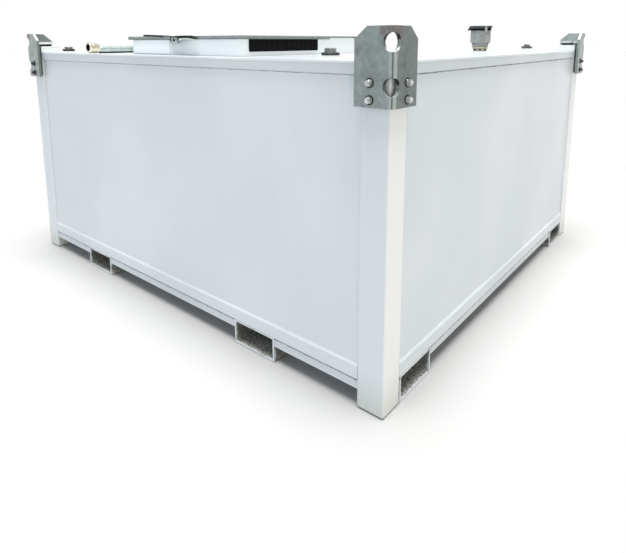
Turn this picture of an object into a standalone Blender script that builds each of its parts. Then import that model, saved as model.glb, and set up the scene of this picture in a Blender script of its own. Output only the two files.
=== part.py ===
"""Transportable double-walled fuel cube tank, modelled at its real size.

X runs along the tank's long side, Y across it and Z up. The origin lies on
the ground under the middle of the tank, and all sizes are in metres.
"""

import math
from typing import NamedTuple

import bmesh
import bpy
from mathutils import Matrix, Vector

# Clearance that pieces keep where they touch.
GAP = 0.0003

# Overall size of the tank body, over its corner posts.
TANK_LENGTH = 2.300
TANK_WIDTH = 2.120
ROOF_TOP = 1.120
HALF_LENGTH = TANK_LENGTH / 2
HALF_WIDTH = TANK_WIDTH / 2

# Corner posts, which run from the ground to a little above the roof.
POST_SIZE = 0.100
POST_TOP = 1.152
POST_EDGE_RADIUS = 0.006
POST_EDGE_STEPS = 3
FOOT_CHAMFER = 0.008

# Steel shell between the posts.
WALL_THICKNESS = 0.004
WALL_RECESS = 0.008
PLATE_THICKNESS = 0.005
RAIL_DEPTH = 0.050
RAIL_EDGE = 0.002
TOP_RAIL_BOTTOM = 1.081
BOTTOM_RAIL_TOP = 0.1475
SKIRT_TOP = 0.0988
SKIRT_BOTTOM = 0.0626
SKIRT_RECESS = 0.006
SKIRT_THICKNESS = 0.008
SKIRT_OVERLAP = 0.008

# Rectangular fork tubes under the floor, two along Y and two along X.
TUBE_WALL = 0.006
TUBE_WIDTH = 0.212
TUBE_BOTTOM = 0.002
TUBE_TOP = SKIRT_TOP - GAP
LONG_TUBE_CENTRE_X = 0.573
TUBE_TO_POST = 0.004
CROSS_TUBE_CENTRE_Y = HALF_WIDTH - POST_SIZE - TUBE_TO_POST - TUBE_WIDTH / 2

# Lifting brackets, bent from plate round the top of each corner post.
BRACKET_THICKNESS = 0.012
BRACKET_STANDOFF = 0.012
BRACKET_REACH = 0.108
BRACKET_BOTTOM = 0.990
BRACKET_TOP = 1.220
BRACKET_BEND_RADIUS = 0.018
BRACKET_INNER_RADIUS = BRACKET_BEND_RADIUS - BRACKET_THICKNESS
BEND_CENTRE = BRACKET_STANDOFF - BRACKET_INNER_RADIUS
HALF_BEND = (BRACKET_INNER_RADIUS + BRACKET_THICKNESS / 2) * math.pi / 4
BRACKET_CHAMFER_ALONG = 0.043
BRACKET_CHAMFER_DOWN = 0.036
EYE_DIAMETER = 0.054
EYE_HEIGHT = 1.175
LOWER_HOLE_DIAMETER = 0.053
LOWER_HOLE_HEIGHT = 1.050
BEND_STEPS = 6
HOLE_SIDES = 32
LIP_DEPTH = 0.016
LIP_BOTTOM = 1.164
LIP_TOP = 1.176
LIP_START = 0.044

# Isolating pad between each bracket and its post.
PAD_REACH = 0.096
PAD_BOTTOM = 0.998
PAD_TOP = 1.162
PAD_BRIDGE_TOP = 1.020
PAD_CORNER_CLEAR = 0.036
PAD_INNER_RADIUS = 0.001

# Equipment cabinet on the roof.
CABINET_LEFT = -0.300
CABINET_RIGHT = 0.428
CABINET_FRONT = -0.961
CABINET_BACK = -0.206
CABINET_WALL = 0.003
CABINET_TOP = 1.192

# Hinged lid of the cabinet: a folded tray, open below.
LID_TOP = 1.200
LID_SHEET = 0.003
LID_LIP_BOTTOM = 1.187
LID_OVERHANG = 0.010
LID_LEFT_OVERHANG = 0.025
LID_SIDE_LIP_BACK = -0.415
HINGE_BEHIND = 0.022
HINGE_Y = CABINET_BACK + HINGE_BEHIND
HINGE_Z = 1.176
KNUCKLE_RADIUS = 0.006
KNUCKLE_LENGTH = 0.040
KNUCKLE_CLEARANCE = 0.0005
HINGE_LEAF_WIDTH = 0.070
HINGE_OFFSET_X = (CABINET_RIGHT - CABINET_LEFT - HINGE_LEAF_WIDTH) / 2
HINGE_LEAF_BOTTOM = 1.140
KNUCKLE_SIDES = 16

# Lid furniture at the front edge.
LID_FRONT = CABINET_FRONT - LID_OVERHANG
HASP_X = 0.034
HASP_WIDTH = 0.036
HASP_THICKNESS = 0.004
HASP_DROP = 0.014
HASP_EDGE = 0.001
HANDLE_LEFT = 0.072
HANDLE_RIGHT = 0.165
HANDLE_DEPTH = 0.016
HANDLE_BOTTOM = 1.184
HANDLE_TOP = 1.203
HANDLE_EDGE = 0.004
LOCK_BAR_LEFT = -0.197
LOCK_BAR_RIGHT = -0.045
LOCK_BAR_INSET = 0.010
LOCK_BAR_WIDTH = 0.025
LOCK_BAR_HEIGHT = 0.006

# Rubber flap over the hose slot in the cabinet's right wall.
FLAP_FRONT = -0.912
FLAP_BACK = -0.497
FLAP_BOTTOM = 1.140
FLAP_TOP = 1.188
FLAP_THICKNESS = 0.003

# Outlet pipe, which lies on the roof. It leaves the cabinet to the left and
# turns to the front, where it ends in a wider coupling.
PIPE_X = -0.620
PIPE_Y = -0.600
PIPE_RADIUS = 0.0173
PIPE_Z = ROOF_TOP + GAP + PIPE_RADIUS
PIPE_OUTER_END = -0.961
PIPE_INNER_END = -0.150
PIPE_ELBOW_RADIUS = 0.060
PIPE_BEND_STEPS = 6
PIPE_ROUNDING = 4
PIPE_HOLE_SIDES = 20
PIPE_HOLE_RADIUS = 0.0195
COUPLING_END = -1.017
COUPLING_Z = 1.1465
COUPLING_RADIUS = 0.025
COUPLING_SIDES = 24
COUPLING_BORE = 0.017
COUPLING_BORE_DEPTH = 0.040

# Round access cover inside the cabinet.
COVER_X = 0.130
COVER_Y = -0.520
COVER_RADIUS = 0.210
COVER_THICKNESS = 0.012
COVER_EDGE = 0.002
COVER_SIDES = 48

# Fill fitting at the back right of the roof.
FITTING_X = 0.720
FITTING_Y = 0.640
FITTING_BASE_RADIUS = 0.047
FITTING_BASE_TOP = 1.146
FITTING_BASE_SIDES = 8
FITTING_BASE_TURN = 22.5
FITTING_NECK_RADIUS = 0.0445
FITTING_NECK_TOP = 1.168
FITTING_BODY_RADIUS = 0.0555
FITTING_BODY_TAPER = 0.004
FITTING_BODY_TOP = 1.236
FITTING_CAP_RADIUS = 0.065
FITTING_CAP_TOP = 1.262
FITTING_CAP_SHOULDER = 0.010
FITTING_CAP_SHOULDER_DROP = 0.006
FITTING_CAP_FLARE = 0.004
FITTING_CAP_SEAT_INSET = 0.002
FITTING_SIDES = 40


class Plug(NamedTuple):
    """Place and size of a roof plug: a hexagonal head on a disc on a welded boss."""

    x: float
    y: float
    boss_height: float
    disc_radius: float
    disc_height: float
    head_radius: float
    head_height: float


# Roof plugs, each of its own size.
PLUGS = {
    "roof_plug_front_left": Plug(-1.070, -0.900, 0.007, 0.0330, 0.010, 0.0215, 0.012),
    "roof_plug_front_right": Plug(0.630, -0.660, 0.003, 0.0372, 0.010, 0.0260, 0.018),
    "roof_plug_back_right": Plug(0.910, 0.870, 0.016, 0.0300, 0.009, 0.0170, 0.012),
}
PLUG_SINK = 0.001
PLUG_BOSS_INSET = 0.007
PLUG_HEAD_SIDES = 6
PLUG_SIDES = 32

# Length that a cutter runs past what it cuts.
OVERRUN = 0.020

# Doubles closer than this are merged.
MERGE_DISTANCE = 0.00001

# Angles in degrees from which an edge is bevelled, or stays sharp when shaded.
BEVEL_ANGLE = 40
SHARP_ANGLE = 35


def clear_scene():
    """Remove every object that the file holds."""
    for item in list(bpy.data.objects):
        bpy.data.objects.remove(item, do_unlink=True)


clear_scene()
part_collection = bpy.data.collections.new("fuel_cube_tank")
cutter_collection = bpy.data.collections.new("cutters")
bpy.context.scene.collection.children.link(part_collection)
bpy.context.scene.collection.children.link(cutter_collection)


def make_material(name, colour, roughness, metallic):
    """Return a Principled BSDF material with one plain colour."""
    material = bpy.data.materials.new(name)
    material.use_nodes = True
    shader = material.node_tree.nodes["Principled BSDF"]
    shader.inputs["Base Color"].default_value = (*colour, 1.0)
    shader.inputs["Roughness"].default_value = roughness
    shader.inputs["Metallic"].default_value = metallic
    return material


WHITE_PAINT = make_material("white_paint", (0.78, 0.80, 0.82), 0.35, 0.0)
GALVANISED = make_material("galvanised_steel", (0.42, 0.46, 0.45), 0.45, 0.9)
DARK_STEEL = make_material("tube_steel", (0.30, 0.31, 0.31), 0.6, 0.6)
BRASS = make_material("brass", (0.72, 0.58, 0.32), 0.3, 1.0)
BLACK_RUBBER = make_material("black_rubber", (0.02, 0.02, 0.022), 0.7, 0.0)
DARK_PLASTIC = make_material("dark_plastic", (0.05, 0.055, 0.055), 0.45, 0.0)


def new_object(name, mesh, collection=part_collection):
    """Link a new object with the given mesh and return it."""
    item = bpy.data.objects.new(name, mesh)
    collection.objects.link(item)
    return item


def finish_piece(item, material):
    """Give a piece its material."""
    item.data.materials.clear()
    item.data.materials.append(material)


def shade_round(mesh):
    """Shade a round mesh smooth and keep its real edges sharp."""
    mesh.shade_smooth()
    mesh.set_sharp_from_angle(angle=math.radians(SHARP_ANGLE))


def tidy_mesh(mesh):
    """Merge a mesh's doubles and point its faces outwards."""
    shape = bmesh.new()
    shape.from_mesh(mesh)
    bmesh.ops.remove_doubles(shape, verts=shape.verts, dist=MERGE_DISTANCE)
    bmesh.ops.recalc_face_normals(shape, faces=shape.faces)
    shape.to_mesh(mesh)
    shape.free()


def curve_mesh(curve, place):
    """Return a curve's mesh, tidied, with the curve moved to a place."""
    guide = bpy.data.objects.new(curve.name, curve)
    cutter_collection.objects.link(guide)
    guide.location = place
    bpy.context.view_layer.update()
    mesh = baked_mesh(guide, curve.name)
    tidy_mesh(mesh)
    bpy.data.objects.remove(guide, do_unlink=True)
    return mesh


def baked_mesh(item, name):
    """Return the item's mesh with its modifiers applied, in world space."""
    bpy.context.view_layer.update()
    seen = item.evaluated_get(bpy.context.evaluated_depsgraph_get())
    mesh = bpy.data.meshes.new_from_object(seen)
    mesh.transform(item.matrix_world)
    mesh.name = name
    return mesh


def box_mesh(name, low, high):
    """Return a box mesh between two corners, centred on its own origin."""
    mesh = bpy.data.meshes.new(name)
    shape = bmesh.new()
    bmesh.ops.create_cube(shape, size=1.0)
    size = Vector(high) - Vector(low)
    bmesh.ops.scale(shape, vec=size, verts=shape.verts)
    shape.to_mesh(mesh)
    shape.free()
    return mesh


def add_box(name, low, high, collection=part_collection):
    """Add a box between two corners."""
    item = new_object(name, box_mesh(name, low, high), collection)
    item.location = (Vector(low) + Vector(high)) / 2
    return item


def add_cylinder(name, centre, radius, length, sides, axis="Z", collection=part_collection):
    """Add a cylinder about its centre, along X, Y or Z."""
    mesh = bpy.data.meshes.new(name)
    shape = bmesh.new()
    bmesh.ops.create_cone(
        shape, cap_ends=True, segments=sides, radius1=radius, radius2=radius, depth=length
    )
    turns = {
        "X": Matrix.Rotation(math.pi / 2, 4, "Y"),
        "Y": Matrix.Rotation(math.pi / 2, 4, "X"),
        "Z": Matrix.Identity(4),
    }
    bmesh.ops.transform(shape, matrix=turns[axis], verts=shape.verts)
    shape.to_mesh(mesh)
    shape.free()
    item = new_object(name, mesh, collection)
    item.location = centre
    return item


def as_guide(item):
    """Keep a cutter out of the model and out of renders."""
    item.hide_render = True
    item.display_type = "WIRE"
    return item


def cutter_box(name, low, high):
    """Add a box that is only used to cut or to join."""
    return as_guide(add_box(name, low, high, cutter_collection))


def cutter_cylinder(name, centre, radius, length, sides, axis="Z"):
    """Add a cylinder that is only used to cut or to join."""
    return as_guide(add_cylinder(name, centre, radius, length, sides, axis, cutter_collection))


def combine(item, tool, operation):
    """Add an exact Boolean modifier."""
    modifier = item.modifiers.new(tool.name, "BOOLEAN")
    modifier.object = tool
    modifier.operation = operation
    modifier.solver = "EXACT"


def cut(item, *tools):
    """Cut each tool out of the item."""
    for tool in tools:
        combine(item, tool, "DIFFERENCE")


def join(item, *tools):
    """Fuse each tool to the item."""
    for tool in tools:
        combine(item, tool, "UNION")


def soften(item, width, segments=1):
    """Bevel the item's sharp edges."""
    modifier = item.modifiers.new("soft_edges", "BEVEL")
    modifier.width = width
    modifier.segments = segments
    modifier.limit_method = "ANGLE"
    modifier.angle_limit = math.radians(BEVEL_ANGLE)


def extruded_guide(name, outline, bottom, top, holes=()):
    """Extrude a closed plan outline with its holes, to be cut or joined further."""
    curve = bpy.data.curves.new(name + "_outline", "CURVE")
    curve.dimensions = "2D"
    curve.fill_mode = "BOTH"
    curve.extrude = (top - bottom) / 2
    for points in (outline, *holes):
        spline = curve.splines.new("POLY")
        spline.points.add(len(points) - 1)
        for place, point in zip(spline.points, points):
            place.co = (point[0], point[1], 0.0, 1.0)
        spline.use_cyclic_u = True
    mesh = curve_mesh(curve, (0.0, 0.0, (top + bottom) / 2))
    return as_guide(new_object(name, mesh, cutter_collection))


def arc(centre_x, centre_y, radius, start, end, steps):
    """Return points along an arc, with its angles in degrees."""
    points = []
    for step in range(steps + 1):
        angle = math.radians(start + (end - start) * step / steps)
        points.append((centre_x + radius * math.cos(angle), centre_y + radius * math.sin(angle)))
    return points


def turned(name, centre, profile, sides, material):
    """Turn a closed profile of (radius, height) points about the vertical axis."""
    mesh = bpy.data.meshes.new(name)
    shape = bmesh.new()
    points = [shape.verts.new((radius, 0.0, height)) for radius, height in profile]
    for first, second in zip(points, points[1:]):
        shape.edges.new((first, second))
    shape.to_mesh(mesh)
    shape.free()
    item = new_object(name, mesh)
    item.location = centre
    modifier = item.modifiers.new("turn", "SCREW")
    modifier.steps = sides
    modifier.render_steps = sides
    modifier.use_merge_vertices = True
    modifier.merge_threshold = MERGE_DISTANCE
    finish_piece(item, material)
    shade_round(mesh)


# Corner posts.
CORNERS = {
    "front_left": (-1, -1),
    "front_right": (1, -1),
    "back_right": (1, 1),
    "back_left": (-1, 1),
}


def build_post(name, side_x, side_y):
    """Build one square corner post, narrowed at its foot by a chamfer."""
    xs = sorted((side_x * HALF_LENGTH, side_x * (HALF_LENGTH - POST_SIZE)))
    ys = sorted((side_y * HALF_WIDTH, side_y * (HALF_WIDTH - POST_SIZE)))
    post = add_box(
        "corner_post_" + name, (xs[0], ys[0], FOOT_CHAMFER), (xs[1], ys[1], POST_TOP)
    )
    shape = bmesh.new()
    shape.from_mesh(post.data)
    upright = [edge for edge in shape.edges if edge.verts[0].co.z != edge.verts[1].co.z]
    bmesh.ops.bevel(
        shape,
        geom=upright,
        offset=POST_EDGE_RADIUS,
        segments=POST_EDGE_STEPS,
        affect="EDGES",
        profile=0.5,
    )
    sole = min(shape.faces, key=lambda face: face.calc_center_median().z)
    foot = bmesh.ops.extrude_discrete_faces(shape, faces=[sole])["faces"][0]
    narrowed = 1 - 2 * FOOT_CHAMFER / POST_SIZE
    bmesh.ops.scale(shape, vec=(narrowed, narrowed, 1.0), verts=foot.verts)
    bmesh.ops.translate(shape, vec=(0.0, 0.0, -FOOT_CHAMFER), verts=foot.verts)
    shape.to_mesh(post.data)
    shape.free()
    finish_piece(post, WHITE_PAINT)


for corner, (sign_x, sign_y) in CORNERS.items():
    build_post(corner, sign_x, sign_y)


# Faces of the shell. Each face lies between two posts.
FACES = {
    "front": ("Y", -1),
    "back": ("Y", 1),
    "left": ("X", -1),
    "right": ("X", 1),
}


def face_box(name, face, along, depth, heights, maker=add_box):
    """Add a box on one face of the tank.

    along is the span along the face, depth the span inwards from the face of
    the posts, and heights the span upwards.
    """
    axis, sign = FACES[face]
    reach = HALF_WIDTH if axis == "Y" else HALF_LENGTH
    across = sorted((sign * (reach - depth[0]), sign * (reach - depth[1])))
    if axis == "Y":
        low = (along[0], across[0], heights[0])
        high = (along[1], across[1], heights[1])
    else:
        low = (across[0], along[0], heights[0])
        high = (across[1], along[1], heights[1])
    return maker(name, low, high)


def clear_span(face):
    """Return the span between the two posts of a face."""
    half = (HALF_LENGTH if FACES[face][0] == "Y" else HALF_WIDTH) - POST_SIZE - GAP
    return (-half, half)


def tube_places(face):
    """Return the centres of the fork tubes that open on a face."""
    centre = LONG_TUBE_CENTRE_X if FACES[face][0] == "Y" else CROSS_TUBE_CENTRE_Y
    return (-centre, centre)


def build_wall(face):
    """Build one outer wall sheet."""
    wall = face_box(
        face + "_wall",
        face,
        clear_span(face),
        (WALL_RECESS, WALL_RECESS + WALL_THICKNESS),
        (BOTTOM_RAIL_TOP + GAP, TOP_RAIL_BOTTOM - GAP),
    )
    finish_piece(wall, WHITE_PAINT)


def build_top_rail(face):
    """Build the rail that carries the roof along one face."""
    rail = face_box(
        face + "_top_rail",
        face,
        clear_span(face),
        (0.0, RAIL_DEPTH),
        (TOP_RAIL_BOTTOM, ROOF_TOP - PLATE_THICKNESS - GAP),
    )
    soften(rail, RAIL_EDGE)
    finish_piece(rail, WHITE_PAINT)


def build_bottom_rail(face):
    """Build the bottom rail with the skirt pieces between the fork tubes."""
    span = clear_span(face)
    rail = face_box(
        face + "_bottom_rail", face, span, (0.0, RAIL_DEPTH), (SKIRT_TOP, BOTTOM_RAIL_TOP)
    )
    soften(rail, RAIL_EDGE)
    half_tube = TUBE_WIDTH / 2 + GAP
    first, second = tube_places(face)
    stretches = (
        (span[0], first - half_tube),
        (first + half_tube, second - half_tube),
        (second + half_tube, span[1]),
    )
    for number, stretch in enumerate(stretches):
        if stretch[1] - stretch[0] < SKIRT_THICKNESS:
            continue
        skirt = face_box(
            f"{face}_skirt_{number}",
            face,
            stretch,
            (SKIRT_RECESS, SKIRT_RECESS + SKIRT_THICKNESS),
            (SKIRT_BOTTOM, SKIRT_TOP + SKIRT_OVERLAP),
            cutter_box,
        )
        join(rail, skirt)
    finish_piece(rail, WHITE_PAINT)


for face_name in FACES:
    build_wall(face_name)
    build_top_rail(face_name)
    build_bottom_rail(face_name)


def corner_cutters(name, size, bottom, top):
    """Return four square cutters that clear the corner posts."""
    tools = []
    for corner, (sign_x, sign_y) in CORNERS.items():
        xs = sorted((sign_x * (HALF_LENGTH - size), sign_x * (HALF_LENGTH + OVERRUN)))
        ys = sorted((sign_y * (HALF_WIDTH - size), sign_y * (HALF_WIDTH + OVERRUN)))
        low = (xs[0], ys[0], bottom - OVERRUN)
        high = (xs[1], ys[1], top + OVERRUN)
        tools.append(cutter_box(f"{name}_{corner}", low, high))
    return tools


def build_roof():
    """Build the roof plate, notched for the posts."""
    bottom = ROOF_TOP - PLATE_THICKNESS
    roof = add_box(
        "roof_plate", (-HALF_LENGTH, -HALF_WIDTH, bottom), (HALF_LENGTH, HALF_WIDTH, ROOF_TOP)
    )
    cut(roof, *corner_cutters("roof_notch", POST_SIZE + GAP, bottom, ROOF_TOP))
    finish_piece(roof, WHITE_PAINT)


def build_floor():
    """Build the floor plate that lies on the fork tubes, inside the bottom rails."""
    half_x = HALF_LENGTH - RAIL_DEPTH - GAP
    half_y = HALF_WIDTH - RAIL_DEPTH - GAP
    top = SKIRT_TOP + PLATE_THICKNESS
    floor = add_box("floor_plate", (-half_x, -half_y, SKIRT_TOP), (half_x, half_y, top))
    cut(floor, *corner_cutters("floor_notch", POST_SIZE + GAP, SKIRT_TOP, top))
    finish_piece(floor, WHITE_PAINT)


build_roof()
build_floor()


# Fork tubes.
def tube_bore(name, low, high, axis):
    """Return a cutter for the inside of a tube that runs along an axis."""
    inset = Vector((TUBE_WALL, TUBE_WALL, TUBE_WALL))
    inset["XY".index(axis)] = -OVERRUN
    return cutter_box(name, Vector(low) + inset, Vector(high) - inset)


def build_long_tube(side, centre_x):
    """Build a tube from the front to the back, with windows for the cross tubes."""
    low = (centre_x - TUBE_WIDTH / 2, -HALF_WIDTH, TUBE_BOTTOM)
    high = (centre_x + TUBE_WIDTH / 2, HALF_WIDTH, TUBE_TOP)
    tube = add_box("fork_tube_" + side, low, high)
    cut(tube, tube_bore(f"fork_bore_{side}", low, high, "Y"))
    half_window = TUBE_WIDTH / 2 - TUBE_WALL
    for end, centre_y in (("front", -CROSS_TUBE_CENTRE_Y), ("back", CROSS_TUBE_CENTRE_Y)):
        window = cutter_box(
            f"fork_window_{side}_{end}",
            (low[0] - OVERRUN, centre_y - half_window, TUBE_BOTTOM + TUBE_WALL),
            (high[0] + OVERRUN, centre_y + half_window, TUBE_TOP - TUBE_WALL),
        )
        cut(tube, window)
    finish_piece(tube, DARK_STEEL)


def build_cross_tubes(end, centre_y):
    """Build the three lengths of a cross tube, beside and between the long tubes."""
    inner = LONG_TUBE_CENTRE_X - TUBE_WIDTH / 2 - GAP
    outer = LONG_TUBE_CENTRE_X + TUBE_WIDTH / 2 + GAP
    lengths = (
        ("left", -HALF_LENGTH, -outer),
        ("middle", -inner, inner),
        ("right", outer, HALF_LENGTH),
    )
    for place, start, stop in lengths:
        low = (start, centre_y - TUBE_WIDTH / 2, TUBE_BOTTOM)
        high = (stop, centre_y + TUBE_WIDTH / 2, TUBE_TOP)
        name = f"cross_tube_{end}_{place}"
        tube = add_box(name, low, high)
        cut(tube, tube_bore(name + "_bore", low, high, "X"))
        finish_piece(tube, DARK_STEEL)


build_long_tube("left", -LONG_TUBE_CENTRE_X)
build_long_tube("right", LONG_TUBE_CENTRE_X)
build_cross_tubes("front", -CROSS_TUBE_CENTRE_Y)
build_cross_tubes("back", CROSS_TUBE_CENTRE_Y)


# Lifting brackets. Each is drawn for a post whose outer corner is the origin,
# with its legs running along -X and +Y, then turned to its corner.
def flat_bracket_outline():
    """Return the bracket's outline before bending, from the middle of the bend."""
    end = HALF_BEND + BEND_CENTRE + BRACKET_REACH
    top_end = end - BRACKET_CHAMFER_ALONG
    chamfer_bottom = BRACKET_TOP - BRACKET_CHAMFER_DOWN
    return [
        (-end, BRACKET_BOTTOM),
        (end, BRACKET_BOTTOM),
        (end, chamfer_bottom),
        (top_end, BRACKET_TOP),
        (-top_end, BRACKET_TOP),
        (-end, chamfer_bottom),
    ]


def round_hole(height, diameter):
    """Return the outline of a round hole at the middle of the bend."""
    return arc(0.0, height, diameter / 2, 0, 360, HOLE_SIDES)[:-1]


def bent_place(along, out):
    """Return where a point of the flat plate lies in plan once it is bent."""
    radius = BRACKET_INNER_RADIUS + out
    if along <= -HALF_BEND:
        return (BEND_CENTRE + HALF_BEND + along, -BEND_CENTRE - radius)
    if along >= HALF_BEND:
        return (BEND_CENTRE + radius, along - HALF_BEND - BEND_CENTRE)
    points = arc(BEND_CENTRE, -BEND_CENTRE, radius, -90, 0, BEND_STEPS)
    step = (along + HALF_BEND) / (2 * HALF_BEND) * BEND_STEPS
    whole = min(int(step), BEND_STEPS - 1)
    return Vector(points[whole]).lerp(Vector(points[whole + 1]), step - whole)


def bend_plate(mesh):
    """Fold a flat plate round the post's corner, in flat strips."""
    shape = bmesh.new()
    shape.from_mesh(mesh)
    for step in range(BEND_STEPS + 1):
        bmesh.ops.bisect_plane(
            shape,
            geom=[*shape.verts, *shape.edges, *shape.faces],
            plane_co=(HALF_BEND * (2 * step / BEND_STEPS - 1), 0.0, 0.0),
            plane_no=(1.0, 0.0, 0.0),
            dist=MERGE_DISTANCE,
        )
    for vert in shape.verts:
        along, height, out = vert.co
        vert.co = (*bent_place(along, out), height)
    bmesh.ops.triangulate(shape, faces=shape.faces)
    shape.to_mesh(mesh)
    shape.free()
    tidy_mesh(mesh)


def build_bracket_master():
    """Build the bracket at the origin: a bent plate with a lip on each leg."""
    holes = (
        round_hole(EYE_HEIGHT, EYE_DIAMETER),
        round_hole(LOWER_HOLE_HEIGHT, LOWER_HOLE_DIAMETER),
    )
    plate = extruded_guide(
        "bracket_master", flat_bracket_outline(), 0.0, BRACKET_THICKNESS, holes
    )
    bend_plate(plate.data)
    near = BRACKET_STANDOFF
    lip_x = cutter_box(
        "lip_along_x",
        (-BRACKET_REACH, -near - BRACKET_THICKNESS / 2, LIP_BOTTOM),
        (-LIP_START, -near + LIP_DEPTH, LIP_TOP),
    )
    lip_y = cutter_box(
        "lip_along_y",
        (near - LIP_DEPTH, LIP_START, LIP_BOTTOM),
        (near + BRACKET_THICKNESS / 2, BRACKET_REACH, LIP_TOP),
    )
    join(plate, lip_x, lip_y)
    return plate


def pad_outline(near, far, inner_radius, outer_radius):
    """Return the plan of the pad between two offsets from the post's faces."""
    points = [(-PAD_REACH, -near), (-PAD_REACH, -far)]
    points += arc(far - outer_radius, -far + outer_radius, outer_radius, -90, 0, BEND_STEPS)
    points += [(far, PAD_REACH), (near, PAD_REACH)]
    points += arc(near - inner_radius, -near + inner_radius, inner_radius, 0, -90, BEND_STEPS)
    return points


def build_pad_master():
    """Build the pad between bracket and post at the origin."""
    far = BRACKET_STANDOFF - GAP
    outline = pad_outline(GAP, far, PAD_INNER_RADIUS, BRACKET_INNER_RADIUS)
    pad = extruded_guide("pad_master", outline, PAD_BOTTOM, PAD_TOP)
    clear = cutter_box(
        "pad_corner_clear",
        (-PAD_CORNER_CLEAR, -far - OVERRUN, PAD_BRIDGE_TOP),
        (far + OVERRUN, PAD_CORNER_CLEAR, PAD_TOP + OVERRUN),
    )
    cut(pad, clear)
    return pad


# Turn of each corner about Z, from the front right one.
CORNER_TURNS = {"front_right": 0, "back_right": 90, "back_left": 180, "front_left": 270}


def build_brackets():
    """Place a bracket and its pad at each corner."""
    bracket_mesh = baked_mesh(build_bracket_master(), "lifting_bracket")
    pad_mesh = baked_mesh(build_pad_master(), "bracket_pad")
    for corner, (sign_x, sign_y) in CORNERS.items():
        for prefix, mesh, material in (
            ("lifting_bracket_", bracket_mesh, GALVANISED),
            ("bracket_pad_", pad_mesh, BLACK_RUBBER),
        ):
            piece = new_object(prefix + corner, mesh)
            piece.location = (sign_x * HALF_LENGTH, sign_y * HALF_WIDTH, 0.0)
            piece.rotation_euler.z = math.radians(CORNER_TURNS[corner])
            finish_piece(piece, material)


build_brackets()


# Equipment cabinet.
def build_cabinet_frame():
    """Build the four cabinet walls as one welded frame, with the pipe hole."""
    low = (CABINET_LEFT, CABINET_FRONT, ROOF_TOP + GAP)
    high = (CABINET_RIGHT, CABINET_BACK, CABINET_TOP)
    frame = add_box("cabinet_frame", low, high)
    inside = cutter_box(
        "cabinet_inside",
        (low[0] + CABINET_WALL, low[1] + CABINET_WALL, low[2] - OVERRUN),
        (high[0] - CABINET_WALL, high[1] - CABINET_WALL, high[2] + OVERRUN),
    )
    pipe_hole = cutter_cylinder(
        "cabinet_pipe_hole",
        (CABINET_LEFT, PIPE_Y, PIPE_Z),
        PIPE_HOLE_RADIUS,
        OVERRUN * 2,
        PIPE_HOLE_SIDES,
        "X",
    )
    cut(frame, inside, pipe_hole)
    finish_piece(frame, WHITE_PAINT)


def build_flap():
    """Build the rubber flap on the cabinet's right wall."""
    flap = add_box(
        "hose_slot_flap",
        (CABINET_RIGHT + GAP, FLAP_FRONT, FLAP_BOTTOM),
        (CABINET_RIGHT + FLAP_THICKNESS, FLAP_BACK, FLAP_TOP),
    )
    finish_piece(flap, BLACK_RUBBER)


def hinge_places():
    """Return the middle of each hinge along X."""
    middle = (CABINET_LEFT + CABINET_RIGHT) / 2
    return {"left": middle - HINGE_OFFSET_X, "right": middle + HINGE_OFFSET_X}


def build_hinge(side, centre_x):
    """Build the fixed leaf of a hinge, with its middle knuckle."""
    face = CABINET_BACK + GAP
    leaf = add_box(
        "lid_hinge_" + side,
        (centre_x - HINGE_LEAF_WIDTH / 2, face, HINGE_LEAF_BOTTOM),
        (centre_x + HINGE_LEAF_WIDTH / 2, face + LID_SHEET, HINGE_Z + KNUCKLE_RADIUS / 2),
    )
    half = KNUCKLE_LENGTH / 2 - KNUCKLE_CLEARANCE
    web = cutter_box(
        f"hinge_web_{side}",
        (centre_x - half, face + LID_SHEET / 2, HINGE_Z - KNUCKLE_RADIUS),
        (centre_x + half, HINGE_Y, HINGE_Z - KNUCKLE_RADIUS / 3),
    )
    knuckle = cutter_cylinder(
        f"hinge_knuckle_{side}",
        (centre_x, HINGE_Y, HINGE_Z),
        KNUCKLE_RADIUS,
        half * 2,
        KNUCKLE_SIDES,
        "X",
    )
    join(leaf, web, knuckle)
    finish_piece(leaf, GALVANISED)


def build_lid():
    """Build the lid tray, with side lips in front only, and its hinge arms."""
    low = Vector((CABINET_LEFT - LID_LEFT_OVERHANG, LID_FRONT, LID_LIP_BOTTOM))
    high = Vector((CABINET_RIGHT + LID_OVERHANG, CABINET_BACK + LID_OVERHANG, LID_TOP))
    lid = add_box("cabinet_lid", low, high)
    inside = cutter_box(
        "lid_inside",
        (low.x + LID_SHEET, low.y + LID_SHEET, low.z - OVERRUN),
        (high.x - LID_SHEET, high.y - LID_SHEET, LID_TOP - LID_SHEET),
    )
    behind_lips = cutter_box(
        "behind_side_lips",
        (low.x - OVERRUN, LID_SIDE_LIP_BACK, low.z - OVERRUN),
        (high.x + OVERRUN, high.y - LID_SHEET, LID_TOP - LID_SHEET),
    )
    cut(lid, inside, behind_lips)
    for side, centre_x in hinge_places().items():
        for place, sign in (("outer", -1), ("inner", 1)):
            near = KNUCKLE_LENGTH / 2
            far = HINGE_LEAF_WIDTH / 2
            xs = sorted((centre_x + sign * near, centre_x + sign * far))
            arm = cutter_box(
                f"lid_arm_{side}_{place}",
                (xs[0], high.y - LID_SHEET / 2, HINGE_Z),
                (xs[1], HINGE_Y + KNUCKLE_RADIUS, LID_TOP - LID_SHEET / 2),
            )
            knuckle = cutter_cylinder(
                f"lid_knuckle_{side}_{place}",
                ((xs[0] + xs[1]) / 2, HINGE_Y, HINGE_Z),
                KNUCKLE_RADIUS,
                xs[1] - xs[0],
                KNUCKLE_SIDES,
                "X",
            )
            join(lid, arm, knuckle)
    finish_piece(lid, GALVANISED)


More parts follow.
